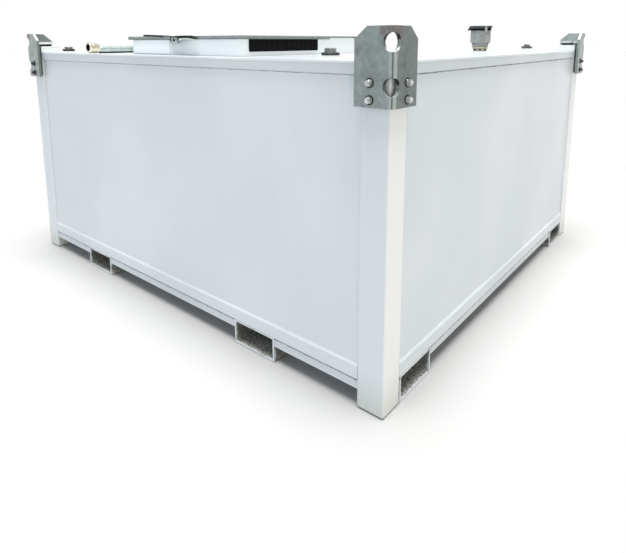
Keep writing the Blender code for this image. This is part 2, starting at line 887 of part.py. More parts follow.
def build_lid_furniture():
    """Build the lock bar, hasp and pull handle on the lid."""
    bar_front = LID_FRONT + LOCK_BAR_INSET
    bar = add_box(
        "lid_lock_bar",
        (LOCK_BAR_LEFT, bar_front, LID_TOP + GAP),
        (LOCK_BAR_RIGHT, bar_front + LOCK_BAR_WIDTH, LID_TOP + LOCK_BAR_HEIGHT),
    )
    finish_piece(bar, DARK_PLASTIC)
    hasp = add_box(
        "lid_hasp",
        (HASP_X - HASP_WIDTH / 2, LID_FRONT - HASP_THICKNESS, LID_LIP_BOTTOM - HASP_DROP),
        (HASP_X + HASP_WIDTH / 2, LID_FRONT - GAP, LID_TOP),
    )
    soften(hasp, HASP_EDGE)
    finish_piece(hasp, WHITE_PAINT)
    handle = add_box(
        "lid_handle",
        (HANDLE_LEFT, LID_FRONT - HANDLE_DEPTH, HANDLE_BOTTOM),
        (HANDLE_RIGHT, LID_FRONT - GAP, HANDLE_TOP),
    )
    soften(handle, HANDLE_EDGE, 2)
    finish_piece(handle, DARK_PLASTIC)


def parent_lid_to_hinge():
    """Hang the lid pieces on an empty that lies on the hinge axis."""
    pivot = bpy.data.objects.new("lid_pivot", None)
    part_collection.objects.link(pivot)
    pivot.location = (0.0, HINGE_Y, HINGE_Z)
    bpy.context.view_layer.update()
    for name in ("cabinet_lid", "lid_lock_bar", "lid_hasp", "lid_handle"):
        piece = bpy.data.objects[name]
        piece.parent = pivot
        piece.matrix_parent_inverse = pivot.matrix_world.inverted()


build_cabinet_frame()
build_flap()
for hinge_side, hinge_x in hinge_places().items():
    build_hinge(hinge_side, hinge_x)
build_lid()
build_lid_furniture()
parent_lid_to_hinge()


# Outlet pipe, coupling and the cover inside the cabinet.
def build_pipe():
    """Build the outlet pipe, bent to the front outside the cabinet."""
    curve = bpy.data.curves.new("outlet_pipe_path", "CURVE")
    curve.dimensions = "3D"
    curve.bevel_depth = PIPE_RADIUS
    curve.bevel_resolution = PIPE_ROUNDING
    curve.use_fill_caps = True
    elbow = arc(
        PIPE_X + PIPE_ELBOW_RADIUS,
        PIPE_Y - PIPE_ELBOW_RADIUS,
        PIPE_ELBOW_RADIUS,
        180,
        90,
        PIPE_BEND_STEPS,
    )
    points = [(PIPE_X, PIPE_OUTER_END), *elbow, (PIPE_INNER_END, PIPE_Y)]
    spline = curve.splines.new("POLY")
    spline.points.add(len(points) - 1)
    for place, point in zip(spline.points, points):
        place.co = (*point, PIPE_Z, 1.0)
    pipe = new_object("outlet_pipe", curve_mesh(curve, (0.0, 0.0, 0.0)))
    shade_round(pipe.data)
    finish_piece(pipe, GALVANISED)


def build_coupling():
    """Build the brass coupling with its bore."""
    inner_end = PIPE_OUTER_END - GAP
    coupling = add_cylinder(
        "outlet_coupling",
        (PIPE_X, (COUPLING_END + inner_end) / 2, COUPLING_Z),
        COUPLING_RADIUS,
        inner_end - COUPLING_END,
        COUPLING_SIDES,
        "Y",
    )
    bore = cutter_cylinder(
        "coupling_bore",
        (PIPE_X, COUPLING_END + (COUPLING_BORE_DEPTH - OVERRUN) / 2, COUPLING_Z),
        COUPLING_BORE,
        COUPLING_BORE_DEPTH + OVERRUN,
        PIPE_HOLE_SIDES,
        "Y",
    )
    cut(coupling, bore)
    finish_piece(coupling, BRASS)


def build_cover():
    """Build the round access cover under the lid."""
    cover = add_cylinder(
        "access_cover",
        (COVER_X, COVER_Y, ROOF_TOP + GAP + COVER_THICKNESS / 2),
        COVER_RADIUS,
        COVER_THICKNESS,
        COVER_SIDES,
    )
    soften(cover, COVER_EDGE)
    finish_piece(cover, WHITE_PAINT)


build_pipe()
build_coupling()
build_cover()


# Fill fitting and roof plugs.
def build_fitting():
    """Build the fill fitting: an octagonal brass base, a body and a cap."""
    base = add_cylinder(
        "fill_base",
        (FITTING_X, FITTING_Y, (ROOF_TOP + GAP + FITTING_BASE_TOP) / 2),
        FITTING_BASE_RADIUS,
        FITTING_BASE_TOP - ROOF_TOP - GAP,
        FITTING_BASE_SIDES,
    )
    base.rotation_euler.z = math.radians(FITTING_BASE_TURN)
    finish_piece(base, BRASS)
    body_bottom = FITTING_BASE_TOP + GAP
    profile = [
        (0.0, FITTING_BODY_TOP),
        (FITTING_BODY_RADIUS, FITTING_BODY_TOP),
        (FITTING_BODY_RADIUS, FITTING_NECK_TOP),
        (FITTING_NECK_RADIUS, FITTING_NECK_TOP - FITTING_BODY_TAPER),
        (FITTING_NECK_RADIUS, body_bottom),
        (0.0, body_bottom),
    ]
    turned("fill_body", (FITTING_X, FITTING_Y, 0.0), profile, FITTING_SIDES, GALVANISED)
    cap_bottom = FITTING_BODY_TOP + GAP
    cap_profile = [
        (0.0, FITTING_CAP_TOP),
        (FITTING_CAP_RADIUS - FITTING_CAP_SHOULDER, FITTING_CAP_TOP),
        (FITTING_CAP_RADIUS, FITTING_CAP_TOP - FITTING_CAP_SHOULDER_DROP),
        (FITTING_CAP_RADIUS, cap_bottom + FITTING_CAP_FLARE),
        (FITTING_BODY_RADIUS - FITTING_CAP_SEAT_INSET, cap_bottom),
        (0.0, cap_bottom),
    ]
    turned("fill_cap", (FITTING_X, FITTING_Y, 0.0), cap_profile, FITTING_SIDES, DARK_PLASTIC)


def build_plug(name, plug):
    """Build a screwed roof plug: a hexagonal head on a disc on a welded boss."""
    base = ROOF_TOP + GAP
    disc_bottom = base + plug.boss_height
    disc_top = disc_bottom + plug.disc_height
    disc = add_cylinder(
        name,
        (plug.x, plug.y, (disc_bottom + disc_top) / 2),
        plug.disc_radius,
        plug.disc_height,
        PLUG_SIDES,
    )
    boss = cutter_cylinder(
        name + "_boss",
        (plug.x, plug.y, base + (plug.boss_height + PLUG_SINK) / 2),
        plug.disc_radius - PLUG_BOSS_INSET,
        plug.boss_height + PLUG_SINK,
        PLUG_SIDES,
    )
    head = cutter_cylinder(
        name + "_head",
        (plug.x, plug.y, disc_top + (plug.head_height - PLUG_SINK) / 2),
        plug.head_radius,
        plug.head_height + PLUG_SINK,
        PLUG_HEAD_SIDES,
    )
    join(disc, boss, head)
    finish_piece(disc, GALVANISED)


build_fitting()
for plug_name, roof_plug in PLUGS.items():
    build_plug(plug_name, roof_plug)
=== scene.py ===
"""Studio scene of the transportable fuel cube tank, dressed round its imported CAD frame.

Every place is in metres in the CAD frame: X along the tank's long side, Y
across it, Z up, with the origin on the ground under the tank's middle.
"""

import logging
import math
from dataclasses import dataclass
from enum import Enum
from typing import Any, Iterable, Sequence

import bmesh
import bpy
from mathutils import Matrix, Vector


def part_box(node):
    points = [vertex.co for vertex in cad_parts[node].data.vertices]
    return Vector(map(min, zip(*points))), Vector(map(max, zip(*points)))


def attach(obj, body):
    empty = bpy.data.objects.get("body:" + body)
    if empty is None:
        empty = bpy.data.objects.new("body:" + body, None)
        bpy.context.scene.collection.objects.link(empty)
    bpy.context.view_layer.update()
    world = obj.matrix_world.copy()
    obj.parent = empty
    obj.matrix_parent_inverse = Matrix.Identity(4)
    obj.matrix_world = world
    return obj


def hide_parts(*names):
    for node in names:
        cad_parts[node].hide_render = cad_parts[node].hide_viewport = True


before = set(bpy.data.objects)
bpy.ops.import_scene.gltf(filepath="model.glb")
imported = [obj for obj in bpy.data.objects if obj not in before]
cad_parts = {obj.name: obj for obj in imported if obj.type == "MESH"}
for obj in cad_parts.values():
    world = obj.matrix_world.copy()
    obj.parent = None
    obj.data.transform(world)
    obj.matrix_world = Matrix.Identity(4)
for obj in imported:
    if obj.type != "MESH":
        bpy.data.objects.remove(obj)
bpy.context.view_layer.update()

MERGE_DISTANCE = 0.00002
SMOOTH_ANGLE = 38.0
LOG = logging.getLogger("fuel_tank")

# Socket numbers of a Mix node that mixes colours.
MIX_A, MIX_B, MIX_OUT = 6, 7, 2

# Socket numbers of a Random Value node that gives plain numbers.
RANDOM_LOW, RANDOM_HIGH, RANDOM_OUT = 2, 3, 1

Point = Sequence[float]
Socket = bpy.types.NodeSocket
Look = tuple[Socket, Socket, Socket | None]


class Body(Enum):
    """The CAD bodies that a piece can ride on."""

    TANK = "tank"
    LID = "lid"


class Slot(Enum):
    """The record's material slots."""

    PAINT = "white_paint"
    GALVANISED = "galvanised_steel"
    TUBE = "tube_steel"
    BRASS = "brass"
    RUBBER = "black_rubber"
    PLASTIC = "dark_plastic"


class Step(Enum):
    """Shader nodes with their settings, the sockets that take values and the one that gives the result."""

    SMOOTH = (
        "ShaderNodeMapRange", {"interpolation_type": "SMOOTHSTEP"},
        ("Value", "From Min", "From Max", "To Min", "To Max"), "Result",
    )
    PRODUCT = ("ShaderNodeMath", {"operation": "MULTIPLY"}, (0, 1), "Value")
    SUM = ("ShaderNodeMath", {"operation": "ADD"}, (0, 1), "Value")
    DIFFERENCE = ("ShaderNodeMath", {"operation": "SUBTRACT"}, (0, 1), "Value")
    SCALED_SUM = ("ShaderNodeMath", {"operation": "MULTIPLY_ADD"}, (0, 1, 2), "Value")
    LARGER = ("ShaderNodeMath", {"operation": "MAXIMUM"}, (0, 1), "Value")
    UNSIGNED = ("ShaderNodeMath", {"operation": "ABSOLUTE"}, (0,), "Value")
    LAYER = ("ShaderNodeMix", {"data_type": "RGBA"}, ("Factor", MIX_A, MIX_B), MIX_OUT)
    BUMP = ("ShaderNodeBump", {}, ("Height", "Distance", "Normal"), "Normal")


def linear(code: str) -> tuple[float, float, float, float]:
    """Turn an sRGB hex colour into linear RGBA.

    Args:
        code: Six hex digits, with or without a leading hash.

    Returns:
        The linear colour with full alpha.
    """
    code = code.lstrip("#")
    channels = [int(code[start : start + 2], 16) / 255 for start in (0, 2, 4)]
    red, green, blue = (
        value / 12.92 if value <= 0.04045 else ((value + 0.055) / 1.055) ** 2.4 for value in channels
    )
    return (red, green, blue, 1.0)


def add_node(
    tree: bpy.types.NodeTree,
    kind: str,
    settings: dict[str, Any] | None = None,
    inputs: dict[int | str, Any] | None = None,
) -> bpy.types.Node:
    """Add one node with its settings, and set or link its inputs.

    Args:
        tree: Node tree that gets the node.
        kind: Blender's name of the node type.
        settings: Properties to set on the node.
        inputs: Socket name or number, with a value or an output socket for it.

    Returns:
        The new node.
    """
    node = tree.nodes.new(kind)
    for key, value in (settings or {}).items():
        setattr(node, key, value)
    for key, value in (inputs or {}).items():
        if isinstance(value, Socket):
            tree.links.new(value, node.inputs[key])
        else:
            node.inputs[key].default_value = value
    return node


@dataclass(frozen=True)
class Surface:
    """A material's node tree, and the place on the object that its patterns follow.

    Attributes:
        tree: The node tree.
        place: Socket with the place, in metres.
    """

    tree: bpy.types.NodeTree
    place: Socket

    def add(self, step: Step, *values: Any) -> Socket:
        """Add one step to the tree.

        Args:
            step: Which node it is.
            values: Numbers, colours or sockets, in the order of the step's sockets.

        Returns:
            The step's result.
        """
        kind, settings, sockets, result = step.value
        return add_node(self.tree, kind, settings, dict(zip(sockets, values))).outputs[result]

    def noise(self, grain_mm: float, detail: float = 3.0, stretch: Point = (1.0, 1.0, 1.0)) -> Socket:
        """Add noise whose lumps have a real size.

        Args:
            grain_mm: Size of one lump in millimetres.
            detail: Number of finer layers.
            stretch: How far a lump is drawn out along X, Y and Z.

        Returns:
            The noise, from 0 to 1.
        """
        scale = tuple(1000.0 / grain_mm / part for part in stretch)
        mapped = add_node(self.tree, "ShaderNodeMapping", None, {"Vector": self.place, "Scale": scale})
        inputs = {"Vector": mapped.outputs["Vector"], "Scale": 1.0, "Detail": detail}
        return add_node(self.tree, "ShaderNodeTexNoise", None, inputs).outputs["Fac"]

    def patches(self, grain_mm: float, detail: float, *span: float) -> Socket:
        """Add patches of noise with soft edges.

        Args:
            grain_mm: Size of one lump in millimetres.
            detail: Number of finer layers.
            span: Noise where a patch starts and is full, then its lowest and highest strength.

        Returns:
            The patches' strength.
        """
        return self.add(Step.SMOOTH, self.noise(grain_mm, detail), *span)

    def band(self, value: Socket, start: float, end: float, soft: float) -> Socket:
        """Give 1 where a value lies between two others, with soft edges outside.

        Args:
            value: The value.
            start: Where the band starts.
            end: Where it ends.
            soft: Width of its edges.

        Returns:
            The band, from 0 to 1.
        """
        rise = self.add(Step.SMOOTH, value, start - soft, start)
        fall = self.add(Step.SMOOTH, value, end + soft, end)
        return self.add(Step.PRODUCT, rise, fall)

    def product(self, first: Any, *others: Any) -> Socket:
        """Multiply several values.

        Args:
            first: The first value.
            others: The values that it is multiplied by.

        Returns:
            Their product.
        """
        for other in others:
            first = self.add(Step.PRODUCT, first, other)
        return first


@dataclass(frozen=True)
class Finish:
    """A surface finish, with the values that every one has.

    Attributes:
        name: The real finish, in a maker's words.
        colour: sRGB hex colour of the clean surface.
        shade: sRGB hex colour that the clean one drifts to.
        roughness: Lowest and highest roughness.
        metallic: 1 for bare metal, 0 for paint, rubber or plastic.
        coat: Weight of a clear, glossy top layer.
        specular: Strength of the surface reflection, 0.5 for a closed surface.
        coat_roughness: Roughness of the clear layer.
    """

    name: str
    colour: str
    shade: str
    roughness: tuple[float, float]
    metallic: float = 0.0
    coat: float = 0.0
    specular: float = 0.5
    coat_roughness: float = 0.2

    def material(self) -> bpy.types.Material:
        """Build the finish's material at the first call.

        Returns:
            The material.
        """
        known = bpy.data.materials.get(self.name)
        if known is not None:
            return known
        material = bpy.data.materials.new(self.name)
        material.use_nodes = True
        tree = material.node_tree
        shader = tree.nodes["Principled BSDF"]
        shader.inputs["Metallic"].default_value = self.metallic
        shader.inputs["Coat Weight"].default_value = self.coat
        shader.inputs["Coat Roughness"].default_value = self.coat_roughness
        shader.inputs["Specular IOR Level"].default_value = self.specular
        surface = Surface(tree, add_node(tree, "ShaderNodeTexCoord").outputs["Object"])
        colour, rough, normal = self.dress(surface)
        tree.links.new(self.marked(surface, colour), shader.inputs["Base Color"])
        tree.links.new(rough, shader.inputs["Roughness"])
        if normal is not None:
            tree.links.new(normal, shader.inputs["Normal"])
        return material

    def marked(self, surface: Surface, colour: Socket) -> Socket:
        """Lay the marks of one part's use over its colour; a plain finish has none.

        Args:
            surface: The surface.
            colour: Its unmarked colour.

        Returns:
            The marked colour.
        """
        return colour

    def dress(self, surface: Surface) -> Look:
        """Give the surface its patterns.

        Args:
            surface: The surface.

        Returns:
            Its colour, roughness and normal.
        """
        raise NotImplementedError

    def drift(self, surface: Surface, grain_mm: float, detail: float, *span: float) -> tuple[Socket, Socket]:
        """Let the clean colour drift to the shade in soft patches.

        Args:
            surface: The surface.
            grain_mm: Size of one patch in millimetres.
            detail: Number of finer layers.
            span: Noise where a patch starts and is full.

        Returns:
            The drift from 0 to 1, and the drifting colour.
        """
        tone = surface.patches(grain_mm, detail, *(span or (0.35, 0.65)))
        return tone, surface.add(Step.LAYER, tone, linear(self.colour), linear(self.shade))


@dataclass(frozen=True)
class SprayedEnamel(Finish):
    """White enamel, sprayed on welded steel sheet.

    To the eye: a clean, even, slightly cool white with orange peel, a
    barely seen trace of rain down the sides, and thin dust low down.
    """

    grime: str = "#A3A29C"
    chipped: str = "#4B4A48"
    streaks: float = 0.03

    def dress(self, surface: Surface) -> Look:
        """Spray the enamel, with its rain, its dust, its chips and its orange peel.

        Args:
            surface: The surface.

        Returns:
            Its colour, roughness and normal.
        """
        add = surface.add
        height = add_node(surface.tree, "ShaderNodeSeparateXYZ", None, {"Vector": surface.place}).outputs["Z"]
        tone, clean = self.drift(surface, 620, 2)
        rain = add(Step.SMOOTH, surface.noise(30, 4, (1.0, 1.0, 22.0)), 0.52, 0.80, 0.0, self.streaks)
        low = add(Step.SMOOTH, height, 0.12, 0.0)
        dirt = add(Step.LARGER, rain, surface.product(low, surface.patches(24, 5, 0.38, 0.72, 0.0, 0.30)))
        foot = add(Step.SMOOTH, height, 0.10, 0.02)
        chips = surface.product(foot, surface.patches(9, 3, 0.71, 0.74, 0.0, 0.6))
        colour = add(Step.LAYER, dirt, clean, linear(self.grime))
        colour = add(Step.LAYER, chips, colour, linear(self.chipped))
        rough = add(Step.SMOOTH, tone, 0.0, 1.0, *self.roughness)
        rough = add(Step.SUM, rough, surface.product(dirt, 0.5))
        ripple = add(Step.BUMP, surface.noise(420, 1), 0.0022)
        return colour, rough, add(Step.BUMP, surface.noise(3.2, 2), 0.00005, ripple)


@dataclass(frozen=True)
class PostEnamel(SprayedEnamel):
    """Enamel of the corner posts.

    To the eye: the shell's white, with painted light: a lighter, warmer tint on
    the faces along the short sides and the brightest one on the block above
    the roof; and a splashed, greener foot.
    """

    block: str = "#FBFDFD"
    lit_side_tint: str = "#EEEFED"
    foot: str = "#C9CCC2"
    roof: float = 1.121

    def marked(self, surface: Surface, colour: Socket) -> Socket:
        """Lay the painted light and the splashed foot over the colour.

        Args:
            surface: The surface.
            colour: Its unmarked colour.

        Returns:
            The marked colour.
        """
        add, tree = surface.add, surface.tree
        normal = add_node(tree, "ShaderNodeNewGeometry").outputs["Normal"]
        facing = add_node(tree, "ShaderNodeSeparateXYZ", None, {"Vector": normal}).outputs["X"]
        height = add_node(tree, "ShaderNodeSeparateXYZ", None, {"Vector": surface.place}).outputs["Z"]
        # Painted light: faces along the short sides are tinted lighter and warmer.
        lit_sides = add(Step.SMOOTH, add(Step.UNSIGNED, facing), 0.55, 0.85)
        colour = add(Step.LAYER, lit_sides, colour, linear(self.lit_side_tint))
        splashed = add(Step.SMOOTH, height, 0.16, 0.0, 0.0, 0.6)
        colour = add(Step.LAYER, splashed, colour, linear(self.foot))
        # Painted light: the block above the roof is tinted nearly white.
        above = add(Step.SMOOTH, height, self.roof, self.roof + 0.002)
        return add(Step.LAYER, above, colour, linear(self.block))


@dataclass(frozen=True)
class LatchShadedEnamel(SprayedEnamel):
    """Enamel of the roof cabinet.

    To the eye: bright and slightly blue, a white that is partly painted light
    from the roof's bounce, with painted shade, a soft grey, on the front wall
    under the lid's lip, which fades away to the right of the latch.
    """

    latch_shade: str = "#98A2A0"
    latch: float = -0.012
    front: float = -0.945
    lip: float = 1.187

    def marked(self, surface: Surface, colour: Socket) -> Socket:
        """Lay the painted shade beside the latch, strongest under the lid's lip.

        Args:
            surface: The surface.
            colour: Its unmarked colour.

        Returns:
            The marked colour.
        """
        add = surface.add
        parts = add_node(surface.tree, "ShaderNodeSeparateXYZ", None, {"Vector": surface.place}).outputs
        # Painted shade: grey under the lid's lip and handle, fading downwards and to the right.
        front = add(Step.SMOOTH, parts["Y"], self.front, self.front - 0.01)
        start = add(Step.SMOOTH, parts["X"], self.latch - 0.002, self.latch + 0.016)
        fade = add(Step.SMOOTH, parts["X"], self.latch + 0.22, self.latch + 0.06)
        high = add(Step.SMOOTH, parts["Z"], self.lip - 0.04, self.lip, 0.35, 0.80)
        return add(Step.LAYER, surface.product(fade, high, start, front), colour, linear(self.latch_shade))


@dataclass(frozen=True)
class DippedZinc(Finish):
    """Steel dipped in molten zinc.

    To the eye: a dull blue-grey mottle of crystals with cloudy dark runs.
    """

    crystal_mm: float = 11.0
    cloud: str = "#5C6463"

    def dress(self, surface: Surface) -> Look:
        """Grow the zinc's crystals, with clouds and specks over them.

        Args:
            surface: The surface.

        Returns:
            Its colour, roughness and normal.
        """
        add, tree = surface.add, surface.tree
        warp = {0: surface.noise(self.crystal_mm * 2.4, 2), 1: (0.008, 0.008, 0.008), 2: surface.place}
        bent = add_node(tree, "ShaderNodeVectorMath", {"operation": "MULTIPLY_ADD"}, warp).outputs["Vector"]
        inputs = {"Vector": bent, "Scale": 1000.0 / self.crystal_mm}
        crystal = add_node(tree, "ShaderNodeTexVoronoi", {"feature": "F1"}, inputs).outputs["Color"]
        facet = add_node(tree, "ShaderNodeSeparateXYZ", None, {"Vector": crystal}).outputs["X"]
        clean = add(Step.LAYER, facet, linear(self.colour), linear(self.shade))
        cloudy = surface.patches(46, 5, 0.46, 0.72, 0.0, 0.40)
        specks = surface.patches(5, 3, 0.64, 0.74, 0.0, 0.35)
        colour = add(Step.LAYER, cloudy, clean, linear(self.cloud))
        colour = add(Step.LAYER, specks, colour, linear(self.cloud))
        rough = add(Step.SMOOTH, cloudy, 0.0, 0.40, *self.roughness)
        grain = add(Step.BUMP, surface.noise(1.8, 2), 0.00004)
        return colour, rough, add(Step.BUMP, facet, 0.00008, grain)


@dataclass(frozen=True)
class FoldedZinc(DippedZinc):
    """Dipped zinc on plate that is bent round a post, with a lifting eye in the bend.

    To the eye: paler zinc on the left and back brackets; brown above the eye,
    which is painted shade of the eye's upper wall as well as rubbing by chain
    hooks; along the bend a dark crease between paler strips, which are a press
    line and drawn zinc as well as painted shade and painted highlight of the
    bend's curve; bright lips; a painted highlight on faces that face up, and
    painted shade, nearly black on faces that face down and darker on the
    right-facing legs of the front brackets.
    """

    crease: float = 1.1674
    bend_start: float = 1.0655
    inner: tuple[float, float] = (1.1622, 1.0722)
    lip: tuple[float, float] = (1.1645, 1.1765)
    eye: float = 1.148

    def marked(self, surface: Surface, colour: Socket) -> Socket:
        """Lay the painted shade and rub above the eye, the crease and strips of the bend, and the painted
        highlight and painted shade on the faces.

        Args:
            surface: The surface.
            colour: Its unmarked colour.

        Returns:
            The marked colour.
        """
        add, tree, product, band = surface.add, surface.tree, surface.product, surface.band
        place = add_node(tree, "ShaderNodeSeparateXYZ", None, {"Vector": surface.place}).outputs
        normal = add_node(tree, "ShaderNodeNewGeometry").outputs["Normal"]
        facing = add_node(tree, "ShaderNodeSeparateXYZ", None, {"Vector": normal}).outputs
        across, along = add(Step.UNSIGNED, place["X"]), add(Step.UNSIGNED, place["Y"])
        # Painted shade of the eye's upper wall, mixed with rubbing by chain hooks.
        corner = add(Step.SMOOTH, add(Step.SUM, across, along), 2.202, 2.222)
        high = add(Step.SMOOTH, place["Z"], 1.184, 1.200, 0.0, 0.85)
        eye_shade_and_rub = product(high, surface.patches(14, 4, 0.26, 0.52), corner)
        # Along the bend below the eye: a press line and drawn zinc, with painted shade in the crease and
        # painted highlight on the strips.
        below = add(Step.SMOOTH, place["Z"], self.eye + 0.002, self.eye - 0.002)
        left = band(across, self.crease - 0.0095, self.crease - 0.0022, 0.0008)
        right = product(
            add(Step.SMOOTH, across, self.crease + 0.0018, self.crease + 0.0026),
            add(Step.SMOOTH, along, self.bend_start, self.bend_start + 0.002),
        )
        dark = band(across, self.crease - 0.0008, self.crease + 0.0008, 0.0008)
        lips = product(
            add(Step.SMOOTH, across, self.inner[0] + 0.0002, self.inner[0]),
            add(Step.SMOOTH, along, self.inner[1] + 0.0002, self.inner[1]),
            band(place["Z"], *self.lip, 0.0004),
            add(Step.SMOOTH, place["X"], 0.5, -0.5, 0.45, 1.0),
        )
        # Painted shade: the right-facing legs of the front brackets are darkened.
        side = product(
            add(Step.SMOOTH, facing["X"], 0.6, 0.9, 0.0, 0.55),
            add(Step.SMOOTH, place["Y"], -0.90, -0.94),
        )
        for mask, strength, tint in (
            (add(Step.SMOOTH, place["X"], -0.8, -1.0, 0.0, 0.25), 1.0, "#D3DAD7"),
            (add(Step.SMOOTH, place["Y"], 0.8, 1.0, 0.0, 0.35), 1.0, "#D3DAD7"),
            (side, 1.0, "#5A6361"),
            (eye_shade_and_rub, 1.0, "#746A68"),
            (product(left, below), 0.30, "#C3CAC7"),
            (product(right, below), 0.60, "#C3CAC7"),
            (product(dark, below), 0.85, "#4A5350"),
            # Painted highlight on faces that face up, then painted shade, nearly black, on faces that face
            # down.
            (add(Step.SMOOTH, facing["Z"], 0.30, 0.65), 0.85, "#CDD3D0"),
            (lips, 0.90, "#F4F7F5"),
            (add(Step.SMOOTH, facing["Z"], -0.10, -0.35), 0.92, "#191D1C"),
        ):
            colour = add(Step.LAYER, product(mask, strength), colour, linear(tint))
        return colour


@dataclass(frozen=True)
class RolledTube(Finish):
    """Hot-rolled tube, left bare inside and painted with the shell outside.

    To the eye: dark mill scale with a dusty, gritty floor, and white
    overspray on the cut ends that fades a hand's width inside.
    """

    overspray: str = "#DDE1E4"
    grit: str = "#CDCBC3"
    half_length: float = 1.150
    half_width: float = 1.060

    def dress(self, surface: Surface) -> Look:
        """Lay mill scale, grit on the floor and overspray at the ends.

        Args:
            surface: The surface.

        Returns:
            Its colour, roughness and normal.
        """
        add = surface.add
        place = add_node(surface.tree, "ShaderNodeSeparateXYZ", None, {"Vector": surface.place}).outputs
        scale, colour = self.drift(surface, 60, 5, 0.36, 0.66)
        floor = add(Step.SMOOTH, place["Z"], 0.030, 0.009, 0.0, 0.85)
        dust = surface.product(surface.patches(9, 5, 0.36, 0.60), floor)
        colour = add(Step.LAYER, dust, colour, linear(self.grit))
        across = add(Step.DIFFERENCE, add(Step.UNSIGNED, place["X"]), self.half_length)
        along = add(Step.DIFFERENCE, add(Step.UNSIGNED, place["Y"]), self.half_width)
        ragged = add(Step.SCALED_SUM, surface.noise(35, 4), 0.030, -0.015)
        edge = add(Step.SUM, add(Step.LARGER, across, along), ragged)
        sprayed = add(Step.SMOOTH, edge, -0.010, -0.002)
        colour = add(Step.LAYER, sprayed, colour, linear(self.overspray))
        rough = add(Step.SMOOTH, scale, 0.0, 1.0, *self.roughness)
        return colour, rough, add(Step.BUMP, surface.noise(6, 4), 0.00035)


@dataclass(frozen=True)
class WorkedMetal(Finish):
    """Turned, cast or plated fittings.

    To the eye: a metal that is brighter where hands and spanners rub it,
    with tarnish in soft patches and a fine tool or casting grain.
    """

    tarnish: str = "#5A5A55"
    patch_mm: float = 22.0
    grain_mm: float = 1.5
    grain_depth_mm: float = 0.05
    tarnished: float = 0.5

    def dress(self, surface: Surface) -> Look:
        """Lay the tarnish and the grain.

        Args:
            surface: The surface.

        Returns:
            Its colour, roughness and normal.
        """
        add = surface.add
        colour = self.drift(surface, self.patch_mm * 2, 2)[1]
        patches = surface.patches(self.patch_mm, 5, 0.48, 0.74, 0.0, self.tarnished)
        colour = add(Step.LAYER, patches, colour, linear(self.tarnish))
        rough = add(Step.SMOOTH, patches, 0.0, self.tarnished, *self.roughness)
        return colour, rough, add(Step.BUMP, surface.noise(self.grain_mm, 2), self.grain_depth_mm / 1000.0)


@dataclass(frozen=True)
class PipeZinc(WorkedMetal):
    """Zinc on the pipe that lies on the roof.

    To the eye: pale green-grey metal, nearly black along its underside,
    which is painted shade of its contact with the roof as well as dirt.
    """

    painted_shade_below: float = 1.1295
    painted_shade: str = "#1C2422"

    def marked(self, surface: Surface, colour: Socket) -> Socket:
        """Paint shade, with dirt, on the underside.

        Args:
            surface: The surface.
            colour: Its unmarked colour.

        Returns:
            The marked colour.
        """
        height = add_node(surface.tree, "ShaderNodeSeparateXYZ", None, {"Vector": surface.place}).outputs["Z"]
        # Painted shade, with dirt: nearly black below a set height, where the pipe lies on the roof.
        painted_shade = surface.add(Step.SMOOTH, height, self.painted_shade_below, self.painted_shade_below - 0.0025, 0.0, 0.92)
        return surface.add(Step.LAYER, painted_shade, colour, linear(self.painted_shade))


@dataclass(frozen=True)
class BracketBoltZinc(WorkedMetal):
    """Zinc on the bolts of the brackets.

    To the eye: grey and glinting on the front right bracket, and nearly
    black on the others, where the black is painted shade.
    """

    # Near-black of the painted shade on the left and back brackets' bolts.
    bare: str = "#1C2223"
    shade_reach: float = 0.500
    strength: float = 0.85

    def marked(self, surface: Surface, colour: Socket) -> Socket:
        """Paint shade, nearly black, on the bolts of the left and back brackets.

        Args:
            surface: The surface.
            colour: Its unmarked colour.

        Returns:
            The marked colour.
        """
        add = surface.add
        place = add_node(surface.tree, "ShaderNodeSeparateXYZ", None, {"Vector": surface.place}).outputs
        # Painted shade: every bolt away from the front right corner is blackened.
        left = add(Step.SMOOTH, place["X"], self.shade_reach, -self.shade_reach, 0.0, self.strength)
        back = add(Step.SMOOTH, place["Y"], -self.shade_reach, self.shade_reach, 0.0, self.strength)
        return add(Step.LAYER, add(Step.LARGER, left, back), colour, linear(self.bare))


@dataclass(frozen=True)
class MouldedPolymer(Finish):
    """Moulded rubber or plastic.

    To the eye: near-black and matt, with a fine mould grain and a bloom of
    pale dust.
    """

    dust: str = "#6B6B68"
    grain_mm: float = 1.2
    grain_depth_mm: float = 0.06

    def dress(self, surface: Surface) -> Look:
        """Lay the bloom of dust and the mould's grain.

        Args:
            surface: The surface.

        Returns:
            Its colour, roughness and normal.
        """
        add = surface.add
        tone, colour = self.drift(surface, 40, 4)
        bloom = surface.patches(14, 5, 0.52, 0.80, 0.0, 0.30)
        colour = add(Step.LAYER, bloom, colour, linear(self.dust))
        rough = add(Step.SMOOTH, tone, 0.0, 1.0, *self.roughness)
        return colour, rough, add(Step.BUMP, surface.noise(self.grain_mm, 2), self.grain_depth_mm / 1000.0)


@dataclass(frozen=True)
class PadRubber(MouldedPolymer):
    """Rubber of the pads under the brackets: weathered grey, with painted shade blackening its top edge under
    the bracket's lip.
    """

    painted_shade_from: float = 1.150
    painted_shade: str = "#0C0E0E"

    def marked(self, surface: Surface, colour: Socket) -> Socket:
        """Paint shade, nearly black, on the top edge.

        Args:
            surface: The surface.
            colour: Its unmarked colour.

        Returns:
            The marked colour.
        """
        height = add_node(surface.tree, "ShaderNodeSeparateXYZ", None, {"Vector": surface.place}).outputs["Z"]
        # Painted shade: black above a set height, under the bracket's lip.
        painted_shade = surface.add(Step.SMOOTH, height, self.painted_shade_from, self.painted_shade_from + 0.006, 0.0, 0.95)
        return surface.add(Step.LAYER, painted_shade, colour, linear(self.painted_shade))


